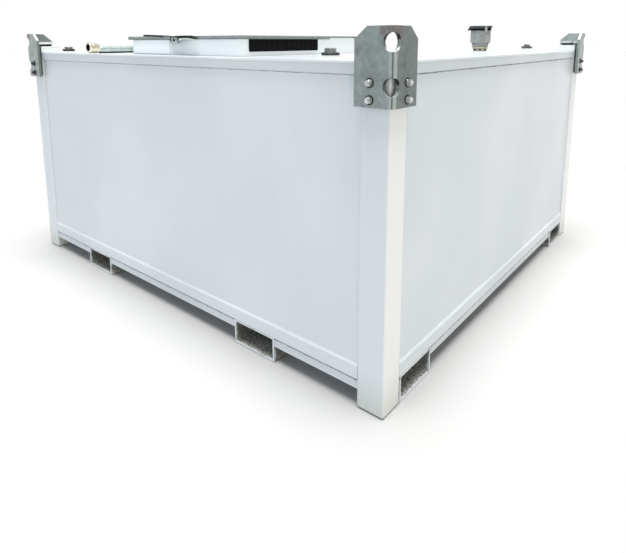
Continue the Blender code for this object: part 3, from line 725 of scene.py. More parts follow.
@dataclass(frozen=True)
class StudioPaper(Finish):
    """Seamless white studio floor, matt and nearly even to the eye."""

    def dress(self, surface: Surface) -> Look:
        """Let the paper's tone drift a little.

        Args:
            surface: The surface.

        Returns:
            Its colour and roughness, and no normal.
        """
        tone, colour = self.drift(surface, 1500, 2, 0.3, 0.7)
        return colour, surface.add(Step.SMOOTH, tone, 0.0, 1.0, *self.roughness), None


RAIL_ENAMEL = SprayedEnamel("sprayed_rail_enamel", "#D0D5D8", "#C9CFD3", (0.34, 0.44), coat=0.15)
SHELL_ENAMEL = SprayedEnamel("sprayed_white_enamel", "#DBE0E3", "#D4DADE", (0.34, 0.44), coat=0.15)
POST_ENAMEL = PostEnamel("sprayed_post_enamel", "#DCE1E5", "#D6DCE0", (0.34, 0.44), coat=0.15)
# Whiter than the shell: painted light on the plug bosses, which lie in the shade of the discs.
LIGHT_PAINTED_ENAMEL = SprayedEnamel("white_enamel_with_painted_light", "#FDFEFE", "#F9FBFB", (0.34, 0.44))
WELD_ENAMEL = SprayedEnamel("enamel_over_weld", "#E2E6E8", "#CFD4D8", (0.38, 0.50))
# Whiter than the shell's enamel: the extra white is painted light from the roof's bounce.
CABINET_ENAMEL = LatchShadedEnamel("sprayed_cabinet_enamel", "#F9FDFF", "#F5FAFD", (0.32, 0.42), coat=0.15)
HASP_ENAMEL = SprayedEnamel("worn_hasp_enamel", "#CBD1D3", "#BFC6C9", (0.40, 0.55))
DISH_ENAMEL = SprayedEnamel("pale_lip_enamel", "#F8FAF6", "#F2F4EF", (0.40, 0.50))
BRACKET_ZINC = FoldedZinc(
    "hot_dip_galvanised_plate", "#969D9B", "#868E8C", (0.46, 0.62), 0.45, cloud="#68706F"
)
SHEET_ZINC = DippedZinc(
    "galvanised_sheet", "#99A19F", "#868E8D", (0.40, 0.56), 0.5, crystal_mm=7.0, cloud="#6E7675"
)
HEM_ZINC = DippedZinc(
    "galvanised_hem", "#747D7C", "#677070", (0.44, 0.60), 0.5, crystal_mm=7.0, cloud="#59605F"
)
TUBE_SCALE = RolledTube("hot_rolled_tube", "#6A6B67", "#82837E", (0.60, 0.80), 0.1)
PIPE_ZINC = PipeZinc("galvanised_pipe", "#CFDDD8", "#BCCDC8", (0.30, 0.46), 0.5, tarnish="#8A9995")
TURNED_BRASS = WorkedMetal(
    "turned_brass", "#F3EEDA", "#E3DCC0", (0.26, 0.44), 0.65, tarnish="#9A8D62", tarnished=0.40
)
AGED_BRASS = WorkedMetal(
    "aged_brass", "#CCC9B7", "#B4B19F", (0.34, 0.52), 0.6, tarnish="#7C7861", tarnished=0.45
)
BOLT_ZINC = WorkedMetal(
    "zinc_plated_steel", "#C3C6C3", "#9DA19F", (0.26, 0.46), 0.95, tarnish="#5A5C58", patch_mm=9.0
)
# Bolts with painted shade on the left and back brackets.
SHADE_PAINTED_BOLT = BracketBoltZinc(
    "zinc_bolt_with_painted_shade", "#E4E8E6", "#B9BEBC", (0.32, 0.50), 0.7, tarnish="#4A4C49", patch_mm=7.0
)
# Washers darkened nearly black: painted shade round each bracket nut.
SHADE_BLACK_WASHER = WorkedMetal(
    "steel_washer_in_painted_shade", "#1E2221", "#161918", (0.55, 0.70), 0.3, tarnish="#0E1010", patch_mm=6.0
)
CAST_ALLOY = WorkedMetal(
    "cast_alloy_body", "#A4A6A4", "#939594", (0.42, 0.60), 0.6,
    tarnish="#6B6D6B", grain_depth_mm=0.12, tarnished=0.2,
)
CAST_IRON = WorkedMetal(
    "malleable_iron_plug", "#9A9C99", "#767977", (0.45, 0.66), 0.6,
    tarnish="#3C3E3D", patch_mm=10.0, grain_depth_mm=0.15, tarnished=0.6,
)
DARK_IRON = WorkedMetal(
    "blackened_iron", "#4A4D4C", "#353837", (0.50, 0.68), 0.5,
    tarnish="#232625", patch_mm=14.0, grain_depth_mm=0.12, tarnished=0.7,
)
CAST_BRONZE = WorkedMetal(
    "cast_bronze", "#6E5C3E", "#4F4231", (0.40, 0.58), 0.8, tarnish="#2E2720", patch_mm=8.0
)
# Grey sealant beads, real joints that also stand for the shade in the recesses under the rails.
PAINTED_SEALANT = MouldedPolymer(
    "painted_seam_sealant", "#A4ACB0", "#959DA2", (0.45, 0.58),
    dust="#C3C8CB", grain_mm=4.0, grain_depth_mm=0.2,
)
SEAM_SEALANT = MouldedPolymer(
    "seam_sealant", "#8A9094", "#767C81", (0.50, 0.62), dust="#A9AEB1", grain_mm=4.0, grain_depth_mm=0.2
)
BLACK_RUBBER = MouldedPolymer(
    "moulded_black_rubber", "#08090A", "#0D0E0F", (0.66, 0.80), specular=0.1, dust="#191A1B"
)
PAD_RUBBER = PadRubber(
    "weathered_bracket_pad", "#4A4F4E", "#5C6260", (0.60, 0.76), specular=0.3, dust="#747A77"
)
FOAM_SEAL = MouldedPolymer(
    "grey_foam_seal", "#B9BEBF", "#A9AFB0", (0.60, 0.75), specular=0.2, dust="#C6CACA"
)
DARK_NYLON = MouldedPolymer("glass_filled_nylon", "#3A4041", "#2A2F30", (0.42, 0.56))
# Near-black grip: nylon, which also stands for the shade under the lid's raised lip.
GRIP_NYLON = MouldedPolymer(
    "black_nylon_grip", "#0E1010", "#0A0B0B", (0.48, 0.60), specular=0.3, dust="#2E3231"
)
CAP_NYLON = MouldedPolymer(
    "weathered_nylon", "#434948", "#393F3E", (0.50, 0.64), specular=0.35, dust="#656A68"
)
FLOOR_PAPER = StudioPaper("seamless_studio_floor", "#C8C8C8", "#C6C6C6", (0.85, 0.9))


class Draft:
    """A mesh in the making, which shapes are added to before it becomes a piece."""

    def __init__(self) -> None:
        """Start with nothing."""
        self.shape = bmesh.new()

    def add_faces(
        self, points: Iterable[Point], faces: Iterable[Sequence[int]], turn: Matrix | None = None
    ) -> list[bmesh.types.BMVert]:
        """Add faces between new points.

        Args:
            points: Corner places.
            faces: Numbers of each face's corners.
            turn: Matrix that places the shape.

        Returns:
            The new corners.
        """
        matrix = turn or Matrix.Identity(4)
        verts = [self.shape.verts.new(matrix @ Vector(point)) for point in points]
        for face in faces:
            self.shape.faces.new([verts[number] for number in face])
        return verts

    def absorb(self, other: bmesh.types.BMesh, turn: Matrix | None = None) -> None:
        """Add a copy of another shape, and free it.

        Args:
            other: The shape.
            turn: Matrix that places it.
        """
        if turn is not None:
            bmesh.ops.transform(other, matrix=turn, verts=other.verts)
        mesh = bpy.data.meshes.new("absorbed")
        other.to_mesh(mesh)
        other.free()
        self.shape.from_mesh(mesh)
        bpy.data.meshes.remove(mesh)

    def block(
        self, low: Point, high: Point, edge: float, steps: int = 2, turn: Matrix | None = None
    ) -> None:
        """Add a box with rounded edges.

        Args:
            low: Lowest corner.
            high: Highest corner.
            edge: Radius of its edges.
            steps: Facets round each edge.
            turn: Matrix that places the box.
        """
        box = bmesh.new()
        size = Vector(high) - Vector(low)
        middle = (Vector(high) + Vector(low)) / 2
        bmesh.ops.create_cube(box, size=1.0)
        bmesh.ops.scale(box, vec=size, verts=box.verts)
        bmesh.ops.translate(box, vec=middle, verts=box.verts)
        bmesh.ops.bevel(box, geom=box.edges, offset=edge, segments=steps, affect="EDGES", profile=0.5)
        self.absorb(box, turn)

    def plate(
        self,
        outline: Sequence[Point],
        bottom: float,
        top: float,
        edge: float = 0.0,
        turn: Matrix | None = None,
    ) -> None:
        """Add a flat plate from its outline.

        Args:
            outline: Points (x, y) round the plate.
            bottom: Height of its underside.
            top: Height of its upper side.
            edge: Radius of the edges round both sides.
            turn: Matrix that places the plate.
        """
        sheet = bmesh.new()
        base = [sheet.verts.new((x, y, bottom)) for x, y in outline]
        cap = [sheet.verts.new((x, y, top)) for x, y in outline]
        count = len(base)
        sheet.faces.new(base[::-1])
        sheet.faces.new(cap)
        for number in range(count):
            after = (number + 1) % count
            sheet.faces.new((base[number], base[after], cap[after], cap[number]))
        bmesh.ops.recalc_face_normals(sheet, faces=sheet.faces)
        if edge > 0:
            rims = [item for item in sheet.edges if item.verts[0].co.z == item.verts[1].co.z]
            bmesh.ops.bevel(sheet, geom=rims, offset=edge, segments=2, affect="EDGES", profile=0.5)
        self.absorb(sheet, turn)

    def turned(self, profile: Sequence[Point], sides: int, turn: Matrix | None = None) -> None:
        """Add a shape turned about Z.

        Args:
            profile: Points (radius, height), which close on the axis or on themselves.
            sides: Facets round the axis.
            turn: Matrix that places the shape.
        """
        points = []
        for step in range(sides):
            angle = 2 * math.pi * step / sides
            for radius, height in profile:
                points.append((radius * math.cos(angle), radius * math.sin(angle), height))
        count = len(profile)
        closed = profile[0][0] > 0 and profile[-1][0] > 0
        faces = []
        for step in range(sides):
            here, there = step * count, (step + 1) % sides * count
            for number in range(count if closed else count - 1):
                after = (number + 1) % count
                faces.append((here + number, there + number, there + after, here + after))
        self.add_faces(points, faces, turn)

    def prism(
        self,
        sides: int,
        across: float,
        bottom: float,
        top: float,
        chamfer: float,
        turn: Matrix | None = None,
    ) -> None:
        """Add a nut-shaped prism, whose corners are chamfered at both ends.

        Args:
            sides: Number of flats.
            across: Width over the flats.
            bottom: Height of its underside.
            top: Height of its upper side.
            chamfer: Height that the chamfer takes off each corner.
            turn: Matrix that places the prism.
        """
        corner = across / 2 / math.cos(math.pi / sides)
        inner = across / 2 * 0.96
        rings = []
        for height, radius in (
            (bottom, inner),
            (bottom + chamfer, corner),
            (top - chamfer, corner),
            (top, inner),
        ):
            for step in range(sides * 2):
                angle = math.pi * step / sides
                reach = radius if step % 2 == 0 else min(radius, across / 2)
                rings.append((reach * math.cos(angle), reach * math.sin(angle), height))
        count = sides * 2
        faces: list[Sequence[int]] = [range(count)[::-1], range(3 * count, 4 * count)]
        for level in range(3):
            for step in range(count):
                after = (step + 1) % count
                base = level * count
                faces.append((base + step, base + after, base + count + after, base + count + step))
        self.add_faces(rings, faces, turn)

    def rod(self, path: Sequence[Point], radius: float, sides: int = 12, closed: bool = False) -> None:
        """Add a round rod along a path.

        Args:
            path: Points that the rod's middle follows.
            radius: The rod's radius.
            sides: Facets round the rod.
            closed: Whether the last point joins the first.
        """
        points = [Vector(point) for point in path]
        count = len(points)
        rings: list[Vector] = []
        side = Vector((0.0, 0.0, 1.0))
        for number, point in enumerate(points):
            before = points[number - 1] if closed or number else point
            after = points[(number + 1) % count] if closed or number < count - 1 else point
            ahead = (after - before).normalized()
            if abs(side.dot(ahead)) > 0.95:
                side = ahead.orthogonal()
            side = (side - ahead * side.dot(ahead)).normalized()
            up = ahead.cross(side)
            for step in range(sides):
                angle = 2 * math.pi * step / sides
                rings.append(point + (side * math.cos(angle) + up * math.sin(angle)) * radius)
        faces: list[Sequence[int]] = []
        for number in range(count if closed else count - 1):
            here, there = number * sides, (number + 1) % count * sides
            for step in range(sides):
                after = (step + 1) % sides
                faces.append((here + step, here + after, there + after, there + step))
        if not closed:
            faces += [range(sides)[::-1], range((count - 1) * sides, count * sides)]
        self.add_faces(rings, faces)

    def mesh(self, name: str) -> bpy.types.Mesh:
        """Merge doubles, point the faces outwards and shade the shape smooth.

        Args:
            name: Name of the mesh.

        Returns:
            The mesh.
        """
        bmesh.ops.remove_doubles(self.shape, verts=self.shape.verts, dist=MERGE_DISTANCE)
        bmesh.ops.recalc_face_normals(self.shape, faces=self.shape.faces)
        mesh = bpy.data.meshes.new(name)
        self.shape.to_mesh(mesh)
        self.shape.free()
        mesh.shade_smooth()
        mesh.set_sharp_from_angle(angle=math.radians(SMOOTH_ANGLE))
        return mesh

    def commit(
        self, name: str, finish: Finish, slot: Slot, body: Body = Body.TANK,
        stands_for: Sequence[str] = (),
    ) -> None:
        """Turn the draft into a finished piece.

        Args:
            name: The real part's name.
            finish: Its finish.
            slot: The record's slot that the finish belongs to.
            body: CAD body that carries it.
            stands_for: CAD nodes that it takes the place of.
        """
        commit(name, self.mesh(name), finish, slot, body, stands_for)


def commit(
    name: str,
    mesh: bpy.types.Mesh,
    finish: Finish,
    slot: Slot,
    body: Body = Body.TANK,
    stands_for: Sequence[str] = (),
) -> None:
    """Turn a mesh into a finished piece that rides on a body.

    Args:
        name: The real part's name.
        mesh: Its mesh, with its place in it.
        finish: Its finish.
        slot: The record's slot that the finish belongs to; it is not used.
        body: CAD body that carries it.
        stands_for: CAD nodes that it takes the place of.
    """
    mesh.materials.clear()
    mesh.materials.append(finish.material())
    piece = bpy.data.objects.new(name, mesh)
    bpy.context.scene.collection.objects.link(piece)
    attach(piece, body.value)
    if stands_for:
        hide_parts(*stands_for)
    LOG.info("%s: %d faces on %s", name, len(mesh.polygons), body.value)


class GeometryTree:
    """A Geometry Nodes tree with named inputs, built in code and baked to a mesh."""

    def __init__(self, name: str, sizes: dict[str, float]) -> None:
        """Start a tree.

        Args:
            name: Name of the tree.
            sizes: Names of its number inputs, with their values.
        """
        self.tree = bpy.data.node_groups.new(name, "GeometryNodeTree")
        face = self.tree.interface
        face.new_socket("Geometry", in_out="INPUT", socket_type="NodeSocketGeometry")
        face.new_socket("Geometry", in_out="OUTPUT", socket_type="NodeSocketGeometry")
        face.new_socket("Finish", in_out="INPUT", socket_type="NodeSocketMaterial")
        face.new_socket("Template", in_out="INPUT", socket_type="NodeSocketObject")
        for key in sizes:
            face.new_socket(key, in_out="INPUT", socket_type="NodeSocketFloat")
        self.sizes = sizes
        self.entry = add_node(self.tree, "NodeGroupInput").outputs

    def node(
        self,
        kind: str,
        settings: dict[str, Any] | None = None,
        inputs: dict[int | str, Any] | None = None,
    ) -> Any:
        """Add a node to the tree.

        Args:
            kind: Blender's name of the node type.
            settings: Properties to set on the node.
            inputs: Socket name or number, with a value or an output socket for it.

        Returns:
            The node's outputs.
        """
        return add_node(self.tree, kind, settings, inputs).outputs

    def close(self, geometry: Socket) -> None:
        """End the tree: make instances real, set the material and put it out.

        Args:
            geometry: Socket with the finished geometry.
        """
        real = self.node("GeometryNodeRealizeInstances", None, {"Geometry": geometry})
        painted = self.node(
            "GeometryNodeSetMaterial",
            None,
            {"Geometry": real["Geometry"], "Material": self.entry["Finish"]},
        )
        add_node(self.tree, "NodeGroupOutput", None, {"Geometry": painted["Geometry"]})

    def bake(
        self,
        name: str,
        source: bpy.types.Mesh,
        finish: Finish,
        template: bpy.types.Object | None = None,
    ) -> bpy.types.Mesh:
        """Run the tree on a mesh and return the result as a plain mesh.

        Args:
            name: Name of the result.
            source: Mesh that the tree works on.
            finish: Finish that the tree sets.
            template: Object that the tree puts at each point.

        Returns:
            The baked mesh.
        """
        carrier = bpy.data.objects.new(name + "_source", source)
        bpy.context.scene.collection.objects.link(carrier)
        modifier = carrier.modifiers.new(name, "NODES")
        modifier.node_group = self.tree
        values: dict[str, Any] = {"Finish": finish.material(), **self.sizes}
        if template is not None:
            values["Template"] = template
        for item in self.tree.interface.items_tree:
            if item.in_out == "INPUT" and item.name in values:
                modifier[item.identifier] = values[item.name]
        bpy.context.view_layer.update()
        seen = carrier.evaluated_get(bpy.context.evaluated_depsgraph_get())
        mesh = bpy.data.meshes.new_from_object(seen)
        carrier.modifiers.remove(modifier)
        bpy.data.objects.remove(carrier, do_unlink=True)
        mesh.name = name
        mesh.shade_smooth()
        mesh.set_sharp_from_angle(angle=math.radians(SMOOTH_ANGLE))
        return mesh


def paths_mesh(name: str, paths: Iterable[Sequence[Point]], closed: bool = False) -> bpy.types.Mesh:
    """Join several paths into a mesh of bare edges.

    Args:
        name: Name of the mesh.
        paths: Point lists that the edges follow.
        closed: Whether each path closes on itself.

    Returns:
        The mesh.
    """
    points: list[Point] = []
    edges: list[tuple[int, int]] = []
    for path in paths:
        start = len(points)
        points.extend(path)
        edges += [(start + step, start + step + 1) for step in range(len(path) - 1)]
        if closed:
            edges.append((start + len(path) - 1, start))
    mesh = bpy.data.meshes.new(name)
    mesh.from_pydata([tuple(point) for point in points], edges, [])
    return mesh


def bead(
    name: str,
    paths: Iterable[Sequence[Point]],
    finish: Finish,
    radius: float,
    pitch: float = 0.005,
    ripple: float = 0.18,
    wander: float = 0.0006,
    seed: float = 1.0,
    closed: bool = False,
) -> None:
    """Lay a bead of weld or sealant along paths with Geometry Nodes, as a piece of the tank.

    Args:
        name: Name of the bead.
        paths: Point lists that it follows.
        finish: Its finish.
        radius: Its radius.
        pitch: Length of one ripple.
        ripple: Share by which the radius varies.
        wander: How far it strays to the side.
        seed: Seed of its unevenness.
        closed: Whether each path closes on itself.
    """
    tree = GeometryTree(
        "laid_bead",
        {"Radius": radius, "Pitch": pitch, "Ripple": ripple, "Wander": wander, "Seed": seed},
    )
    entry = tree.entry
    curve = tree.node("GeometryNodeMeshToCurve", None, {"Mesh": entry["Geometry"]})["Curve"]
    curve = tree.node(
        "GeometryNodeResampleCurve", {"mode": "LENGTH"}, {"Curve": curve, "Length": entry["Pitch"]}
    )["Curve"]
    place = tree.node("GeometryNodeInputPosition")["Position"]
    stray = tree.node(
        "ShaderNodeTexNoise",
        {"noise_dimensions": "4D"},
        {"Vector": place, "W": entry["Seed"], "Scale": 28.0, "Detail": 2.0},
    )["Color"]
    stray = tree.node(
        "ShaderNodeVectorMath", {"operation": "SUBTRACT"}, {0: stray, 1: (0.5, 0.5, 0.5)}
    )["Vector"]
    stray = tree.node(
        "ShaderNodeVectorMath", {"operation": "SCALE"}, {0: stray, "Scale": entry["Wander"]}
    )["Vector"]
    curve = tree.node("GeometryNodeSetPosition", None, {"Geometry": curve, "Offset": stray})["Geometry"]
    lump = tree.node(
        "ShaderNodeTexNoise",
        {"noise_dimensions": "4D"},
        {"Vector": place, "W": entry["Seed"], "Scale": 160.0, "Detail": 1.0},
    )["Fac"]
    lump = tree.node(
        "ShaderNodeMapRange",
        None,
        {"Value": lump, "From Min": 0.3, "From Max": 0.7, "To Min": -1.0, "To Max": 1.0},
    )["Result"]
    factor = tree.node(
        "ShaderNodeMath", {"operation": "MULTIPLY_ADD"}, {0: lump, 1: entry["Ripple"], 2: 1.0}
    )["Value"]
    profile = tree.node(
        "GeometryNodeCurvePrimitiveCircle", None, {"Resolution": 7, "Radius": entry["Radius"]}
    )["Curve"]
    swept = tree.node(
        "GeometryNodeCurveToMesh",
        None,
        {"Curve": curve, "Profile Curve": profile, "Scale": factor, "Fill Caps": True},
    )["Mesh"]
    tree.close(swept)
    mesh = tree.bake(name, paths_mesh(name + "_path", paths, closed), finish)
    commit(name, mesh, finish, Slot.PAINT)


@dataclass(frozen=True)
class Seat:
    """A place for a fastener.

    Attributes:
        place: Point on the surface.
        facing: Direction that the fastener points.
    """

    place: Point
    facing: Point


def fastened(
    name: str,
    seats: Sequence[Seat],
    template: bpy.types.Mesh,
    finish: Finish,
    seed: float = 3.0,
    body: Body = Body.TANK,
) -> None:
    """Put a fastener at each seat with Geometry Nodes, each turned by chance.

    Args:
        name: Name of the set.
        seats: Where the fasteners sit.
        template: The fastener's mesh, seated at the origin and pointing up.
        finish: Its finish.
        seed: Seed of the turns.
        body: CAD body that carries them.
    """
    points = bpy.data.meshes.new(name + "_seats")
    points.from_pydata([tuple(seat.place) for seat in seats], [], [])
    facing = points.attributes.new("facing", "FLOAT_VECTOR", "POINT")
    for number, seat in enumerate(seats):
        facing.data[number].vector = seat.facing
    pattern = bpy.data.objects.new(name + "_template", template)
    tree = GeometryTree("seated_fasteners", {"Seed": seed})
    entry = tree.entry
    info = tree.node("GeometryNodeObjectInfo", None, {"Object": entry["Template"]})["Geometry"]
    chance = tree.node(
        "FunctionNodeRandomValue",
        {"data_type": "FLOAT"},
        {RANDOM_LOW: 0.0, RANDOM_HIGH: math.tau, "Seed": entry["Seed"]},
    )[RANDOM_OUT]
    spin = tree.node("ShaderNodeCombineXYZ", None, {"Z": chance})["Vector"]
    spin = tree.node("FunctionNodeEulerToRotation", None, {"Euler": spin})["Rotation"]
    ahead = tree.node(
        "GeometryNodeInputNamedAttribute", {"data_type": "FLOAT_VECTOR"}, {"Name": "facing"}
    )["Attribute"]
    aligned = tree.node(
        "FunctionNodeAlignRotationToVector", {"axis": "Z"}, {"Vector": ahead, "Rotation": spin}
    )["Rotation"]
    placed = tree.node(
        "GeometryNodeInstanceOnPoints",
        None,
        {"Points": entry["Geometry"], "Instance": info, "Rotation": aligned},
    )["Instances"]
    tree.close(placed)
    mesh = tree.bake(name, points, finish, pattern)
    bpy.data.objects.remove(pattern, do_unlink=True)
    commit(name, mesh, finish, Slot.GALVANISED, body)


def ring_stack(name: str, centres: Sequence[Point], radius: float, wire: float, finish: Finish) -> None:
    """Stack thin rings round Y, such as thread turns, with Geometry Nodes.

    Args:
        name: Name of the stack.
        centres: Middle of each ring.
        radius: Radius of a ring's middle line.
        wire: Radius of its wire.
        finish: Their finish.
    """
    points = bpy.data.meshes.new(name + "_centres")
    points.from_pydata([tuple(point) for point in centres], [], [])
    tree = GeometryTree("stacked_rings", {"Radius": radius, "Wire": wire})
    entry = tree.entry
    circle = tree.node(
        "GeometryNodeCurvePrimitiveCircle", None, {"Resolution": 40, "Radius": entry["Radius"]}
    )["Curve"]
    wire_line = tree.node(
        "GeometryNodeCurvePrimitiveCircle", None, {"Resolution": 6, "Radius": entry["Wire"]}
    )["Curve"]
    ring = tree.node("GeometryNodeCurveToMesh", None, {"Curve": circle, "Profile Curve": wire_line})["Mesh"]
    placed = tree.node(
        "GeometryNodeInstanceOnPoints",
        None,
        {"Points": entry["Geometry"], "Instance": ring, "Rotation": (math.pi / 2, 0.0, 0.0)},
    )["Instances"]
    tree.close(placed)
    commit(name, tree.bake(name, points, finish), finish, Slot.GALVANISED)


def looking(facing: Point) -> Matrix:
    """Return the turn that points +Z along a direction."""
    return Vector(facing).to_track_quat("Z", "Y").to_matrix().to_4x4()


def at(place: Point, facing: Point = (0.0, 0.0, 1.0)) -> Matrix:
    """Return the matrix that seats a shape at a place, pointing along a direction."""
    return Matrix.Translation(place) @ looking(facing)


def rounded(x_span: Point, y_span: Point, radius: float, steps: int = 4) -> list[Point]:
    """Return the outline of a rectangle with round corners.

    Args:
        x_span: Lowest and highest X.
        y_span: Lowest and highest Y.
        radius: Radius of the corners.
        steps: Facets round each corner.

    Returns:
        Points (x, y), anticlockwise.
    """
    corners = (
        (x_span[1] - radius, y_span[1] - radius, 0),
        (x_span[0] + radius, y_span[1] - radius, 90),
        (x_span[0] + radius, y_span[0] + radius, 180),
        (x_span[1] - radius, y_span[0] + radius, 270),
    )
    points: list[Point] = []
    for x, y, start in corners:
        for step in range(steps + 1):
            angle = math.radians(start + 90 * step / steps)
            points.append((x + radius * math.cos(angle), y + radius * math.sin(angle)))
    return points


def studded_nut(across: float, height: float, stud: float, proud: float) -> bpy.types.Mesh:
    """Return a washer, a nut and the threaded end of its bolt, seated at the origin.

    Args:
        across: Width of the nut over its flats.
        height: Height of the nut.
        stud: Diameter of the bolt.
        proud: How far the bolt stands out of the nut.

    Returns:
        The template's mesh.
    """
    draft = Draft()
    washer = 0.0025
    rim = across * 0.60
    draft.turned(((0, 0), (rim, 0), (rim, washer * 0.7), (rim * 0.96, washer), (0, washer)), 24)
    draft.prism(6, across, washer, washer + height, height * 0.12)
    turns = 4
    start, end = washer + height * 0.9, washer + height + proud
    profile: list[Point] = [(0, start), (stud / 2, start)]
    for turn in range(turns):
        level = washer + height + proud * (turn + 0.5) / (turns + 0.5)
        profile += [(stud / 2, level - proud * 0.06), (stud * 0.44, level)]
    profile += [(stud * 0.42, end), (0, end)]
    draft.turned(profile, 16)
    return draft.mesh("studded_nut")


def pan_screw(head: float, height: float) -> bpy.types.Mesh:
    """Return a domed screw head with a socket, seated at the origin.

    Args:
        head: Diameter of the head.
        height: Height of the head.

    Returns:
        The template's mesh.
    """
    draft = Draft()
    radius = head / 2
    socket = radius * 0.45
    profile = (
        (0, 0), (radius, 0), (radius * 0.97, height * 0.45), (radius * 0.78, height * 0.85),
        (radius * 0.55, height), (socket, height), (socket * 0.9, height * 0.45), (0, height * 0.40),
    )
    draft.turned(profile, 12)
    return draft.mesh("pan_screw")


# Sides of the tank: the axis that a side faces, and which way.
SIDES = {"front": ("Y", -1), "back": ("Y", 1), "left": ("X", -1), "right": ("X", 1)}

# Corners of the tank: which way each lies along X and along Y.
CORNERS = ((-1, -1), (-1, 1), (1, -1), (1, 1))


def dress_node(node: bpy.types.Object, finish: Finish) -> None:
    """Give a CAD node a finish through its object's material slots.

    Args:
        node: The node's object.
        finish: The finish.
    """
    for slot in node.material_slots:
        slot.link = "OBJECT"
        slot.material = finish.material()


@dataclass
class Shell:
    """The welded shell: posts, rails, walls, roof, floor and fork tubes."""

    half_length: float = 1.150
    half_width: float = 1.060
    post: float = 0.100
    roof: float = 1.120
    roof_joint: float = 1.1148
    wall_recess: float = 0.008
    skirt_recess: float = 0.006
    top_rail_bottom: float = 1.081
    bottom_rail_top: float = 0.1475
    skirt_top: float = 0.0988
    skirt_bottom: float = 0.0626
    tube_half_width: float = 0.106
    long_tube: float = 0.573
    cross_tube: float = 0.850
    post_top: float = 1.152
    crease_x: float = 0.860
    crease_front: float = -0.930
    crease_back: float = 0.800
    crease_corner: float = 0.04

    def on_side(self, side: str, along: float, depth: float, height: float) -> Point:
        """Return a place on a side.

        Args:
            side: Name of the side.
            along: Place along the side.
            depth: How far it lies inside the face of the posts.
            height: Height above the ground.

        Returns:
            The place.
        """
        axis, sign = SIDES[side]
        if axis == "Y":
            return (along, sign * (self.half_width - depth), height)
        return (sign * (self.half_length - depth), along, height)

    def span(self, side: str) -> tuple[float, float]:
        """Return the span between a side's posts."""
        half = (self.half_length if SIDES[side][0] == "Y" else self.half_width) - self.post
        return (-half, half)

    def along_side(self, side: str, depth: float, height: float) -> list[Point]:
        """Return a straight path between a side's posts."""
        return [self.on_side(side, end, depth, height) for end in self.span(side)]

    def upright(self, side: str, along: float, depth: float, low: float, high: float) -> list[Point]:
        """Return a vertical path on a side."""
        return [self.on_side(side, along, depth, height) for height in (low, high)]

    def dress_nodes(self) -> None:
        """Give the shell's CAD nodes their finishes."""
        for name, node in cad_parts.items():
            if name.startswith("corner_post"):
                dress_node(node, POST_ENAMEL)
            elif name.endswith("_top_rail"):
                dress_node(node, RAIL_ENAMEL)
            elif name.startswith(("fork_tube", "cross_tube")):
                dress_node(node, TUBE_SCALE)
            elif name.startswith(("access_cover", "roof_plate", "floor_plate")):
                dress_node(node, SHELL_ENAMEL)
            elif name.endswith(("_wall", "_rail")):
                dress_node(node, SHELL_ENAMEL)

    def build_seams(self) -> None:
        """Lay the welds and the sealant that close the shell."""
        depth, low, high = self.wall_recess, self.bottom_rail_top, self.top_rail_bottom
        # The sealant under the top rail is a real bead that also stands for the shade in the recess below the
        # rail.
        for name, finish, radius, uneven, sides in (
            ("painted_rail_sealant", PAINTED_SEALANT, 0.0028, 0.35, ("front", "left")),
            ("bare_rail_sealant", SEAM_SEALANT, 0.0036, 0.50, ("back", "right")),
        ):
            under_rail = [self.along_side(side, depth - 0.0004, high - 0.0012) for side in sides]
            bead(name, under_rail, finish, radius, 0.006, uneven, 0.0045, 4.0)
        # The sealant at the skirt's top is a real bead that also stands for the shade under the bottom rail's
        # edge.
        skirt, edge = self.skirt_recess - 0.0008, self.skirt_top - 0.0024
        skirts = [self.along_side(side, skirt, edge) for side in SIDES]
        bead("skirt_sealant", skirts, SEAM_SEALANT, 0.0036, 0.006, 0.40, 0.0040, 5.0)
        ledge = [self.along_side(side, depth - 0.0010, low + 0.0006) for side in SIDES]
        bead("bottom_ledge_weld", ledge, WELD_ENAMEL, 0.0030, 0.005, 0.16, 0.0010, 7.0)
        ends = [(side, end) for side in SIDES for end in self.span(side)]
        uprights = [self.upright(side, end, depth, low, high) for side, end in ends]
        bead("wall_to_post_weld", uprights, WELD_ENAMEL, 0.0032, 0.005, 0.14, 0.0008, 9.0)
        face, gap = 0.0008, 0.002
        rail_ends = []
        for side, end in ends:
            for start, stop in ((self.skirt_top, low), (high, self.roof)):
                rail_ends.append(self.upright(side, end, face, start + gap, stop - gap))
        rail_ends += [self.along_side(side, face, self.roof_joint) for side in SIDES]
        bead("rail_and_roof_weld", rail_ends, WELD_ENAMEL, 0.0018, 0.005, 0.12, 0.0005, 12.0)

    def build_post_caps(self) -> None:
        """Lay the weld round the plate that closes each post's top."""
        loops = []
        inset = 0.0006
        for x_sign, y_sign in CORNERS:
            xs = sorted((x_sign * self.half_length, x_sign * (self.half_length - self.post)))
            ys = sorted((y_sign * self.half_width, y_sign * (self.half_width - self.post)))
            outline = rounded((xs[0] + inset, xs[1] - inset), (ys[0] + inset, ys[1] - inset), 0.006)
            loops.append([(x, y, self.post_top - 0.006) for x, y in outline])
        bead("post_cap_weld", loops, WELD_ENAMEL, 0.0016, 0.005, 0.10, 0.0002, 15.0, True)

    def build_tube_welds(self) -> None:
        """Lay the welds that hold the fork tubes to the skirt and the rail."""
        paths = []
        clear = 0.008
        depth, bottom, top = self.skirt_recess, self.skirt_bottom, self.skirt_top
        for side in SIDES:
            centre = self.long_tube if SIDES[side][0] == "Y" else self.cross_tube
            low, high = self.span(side)
            for middle in (-centre, centre):
                for edge in (middle - self.tube_half_width, middle + self.tube_half_width):
                    if low + clear < edge < high - clear:
                        paths.append(self.upright(side, edge, depth, bottom, top))
        bead("fork_tube_weld", paths, WELD_ENAMEL, 0.0028, 0.004, 0.18, 0.0008, 21.0)

